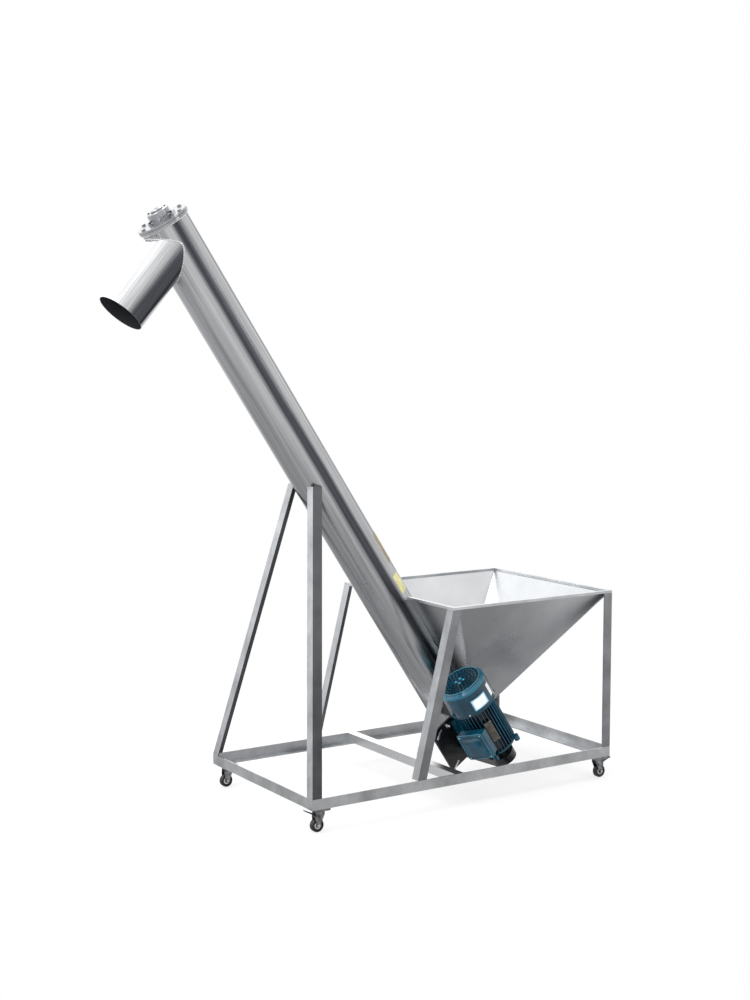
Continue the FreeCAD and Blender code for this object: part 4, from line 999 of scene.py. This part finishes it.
def placeCamera():
    data = bpy.data.cameras.new("camera")
    data.sensor_fit = "VERTICAL"
    data.sensor_height = 36
    data.lens = viewPoint["lens"]
    data.clip_end = 100
    camera = bpy.data.objects.new("camera", data)
    camera.location = viewPoint["place"]
    camera.rotation_euler = (math.radians(90 - viewPoint["pitch"]), 0, math.radians(-viewPoint["yaw"]))
    bpy.context.scene.collection.objects.link(camera)
    bpy.context.scene.camera = camera


def layFloor():
    # A pale matt floor with a soft shadow under the object, and a greyer one in the steel's reflections
    bm = bmesh.new()
    bmesh.ops.create_circle(bm, cap_ends=True, radius=studio["floorRadius"], segments=64)
    mesh = bpy.data.meshes.new("floor")
    bm.to_mesh(mesh)
    bm.free()
    floor = bpy.data.objects.new("floor", mesh)
    bpy.context.scene.collection.objects.link(floor)
    material, tree, shader, coords = startMaterial("whiteFloor", 0, 0.9)
    shader.inputs["Base Color"].default_value = hexColour(studio["floorColour"])
    shader.inputs["Specular IOR Level"].default_value = 0
    length = addNode(tree, "ShaderNodeVectorMath", {0: coords}, {"operation": "LENGTH"})
    inner, outer = studio["shadowFade"]
    fade = addNode(tree, "ShaderNodeMapRange", {"Value": length.outputs["Value"], "From Min": inner,
                                                "From Max": outer, "To Min": studio["shadowShare"],
                                                "To Max": 1}, {"interpolation_type": "SMOOTHSTEP"})
    path = addNode(tree, "ShaderNodeLightPath")
    share = addNode(tree, "ShaderNodeMath", {0: fade.outputs["Result"], 1: path.outputs["Is Camera Ray"]},
                    {"operation": "MULTIPLY"})
    glow = addNode(tree, "ShaderNodeEmission", {"Color": (1, 1, 1, 1), "Strength": 1})
    inner, outer = studio["mirrorFade"]
    near = addNode(tree, "ShaderNodeMapRange", {"Value": length.outputs["Value"], "From Min": inner,
                                                "From Max": outer, "To Min": studio["mirrorShade"],
                                                "To Max": 1})
    mirrored = addNode(tree, "ShaderNodeEmission", {"Color": (1, 1, 1, 1),
                                                    "Strength": near.outputs["Result"]})
    seen = addNode(tree, "ShaderNodeMixShader", {0: share.outputs["Value"], 1: shader.outputs["BSDF"],
                                                 2: glow.outputs["Emission"]})
    mixed = addNode(tree, "ShaderNodeMixShader", {0: path.outputs["Is Glossy Ray"],
                                                  1: seen.outputs["Shader"],
                                                  2: mirrored.outputs["Emission"]})
    tree.links.new(mixed.outputs["Shader"], tree.nodes["Material Output"].inputs["Surface"])
    mesh.materials.append(material)


def lightRoom():
    # A light studio, brightest behind, with one dark card to the front right that the fronts mirror
    world = bpy.data.worlds.new("studio")
    world.use_nodes = True
    bpy.context.scene.world = world
    tree = world.node_tree
    background = tree.nodes["Background"]
    ray = addNode(tree, "ShaderNodeTexCoord").outputs["Generated"]
    lightWay = addNode(tree, "ShaderNodeVectorMath", {0: ray, 1: studio["brightWay"]},
                       {"operation": "DOT_PRODUCT"})
    low, high = studio["brightness"]
    side = addNode(tree, "ShaderNodeMapRange", {"Value": lightWay.outputs["Value"], "From Min": -0.2,
                                                "From Max": 0.9, "To Min": low, "To Max": high})
    cardWay = addNode(tree, "ShaderNodeVectorMath", {0: ray, 1: studio["cardWay"]},
                      {"operation": "DOT_PRODUCT"})
    outside, inside = studio["cardEdge"]
    card = addNode(tree, "ShaderNodeMapRange", {"Value": cardWay.outputs["Value"], "From Min": outside,
                                                "From Max": inside, "To Min": 1,
                                                "To Max": studio["cardShade"]})
    strength = addNode(tree, "ShaderNodeMath", {0: side.outputs["Result"], 1: card.outputs["Result"]},
                       {"operation": "MULTIPLY"})
    path = addNode(tree, "ShaderNodeLightPath")
    seen = addNode(tree, "ShaderNodeMath", {0: path.outputs["Is Camera Ray"],
                                            1: path.outputs["Is Transmission Ray"]}, {"operation": "MAXIMUM"})
    shown = addNode(tree, "ShaderNodeMix", {0: seen.outputs["Value"], 2: strength.outputs["Value"], 3: 1.0})
    tree.links.new(shown.outputs[0], background.inputs["Strength"])
    background.inputs["Color"].default_value = (1, 1, 1, 1)
    for name, place, side, watts in softboxes:
        data = bpy.data.lights.new(name, "AREA")
        data.shape = "SQUARE"
        data.size = side
        data.energy = watts
        lamp = bpy.data.objects.new(name, data)
        lamp.location = place
        lamp.rotation_euler = (aimPoint - Vector(place)).to_track_quat("-Z", "Y").to_euler()
        bpy.context.scene.collection.objects.link(lamp)


placeCamera()
layFloor()
lightRoom()
bpy.context.scene.view_settings.view_transform = "Standard"
print("stage: camera, floor and lights placed")
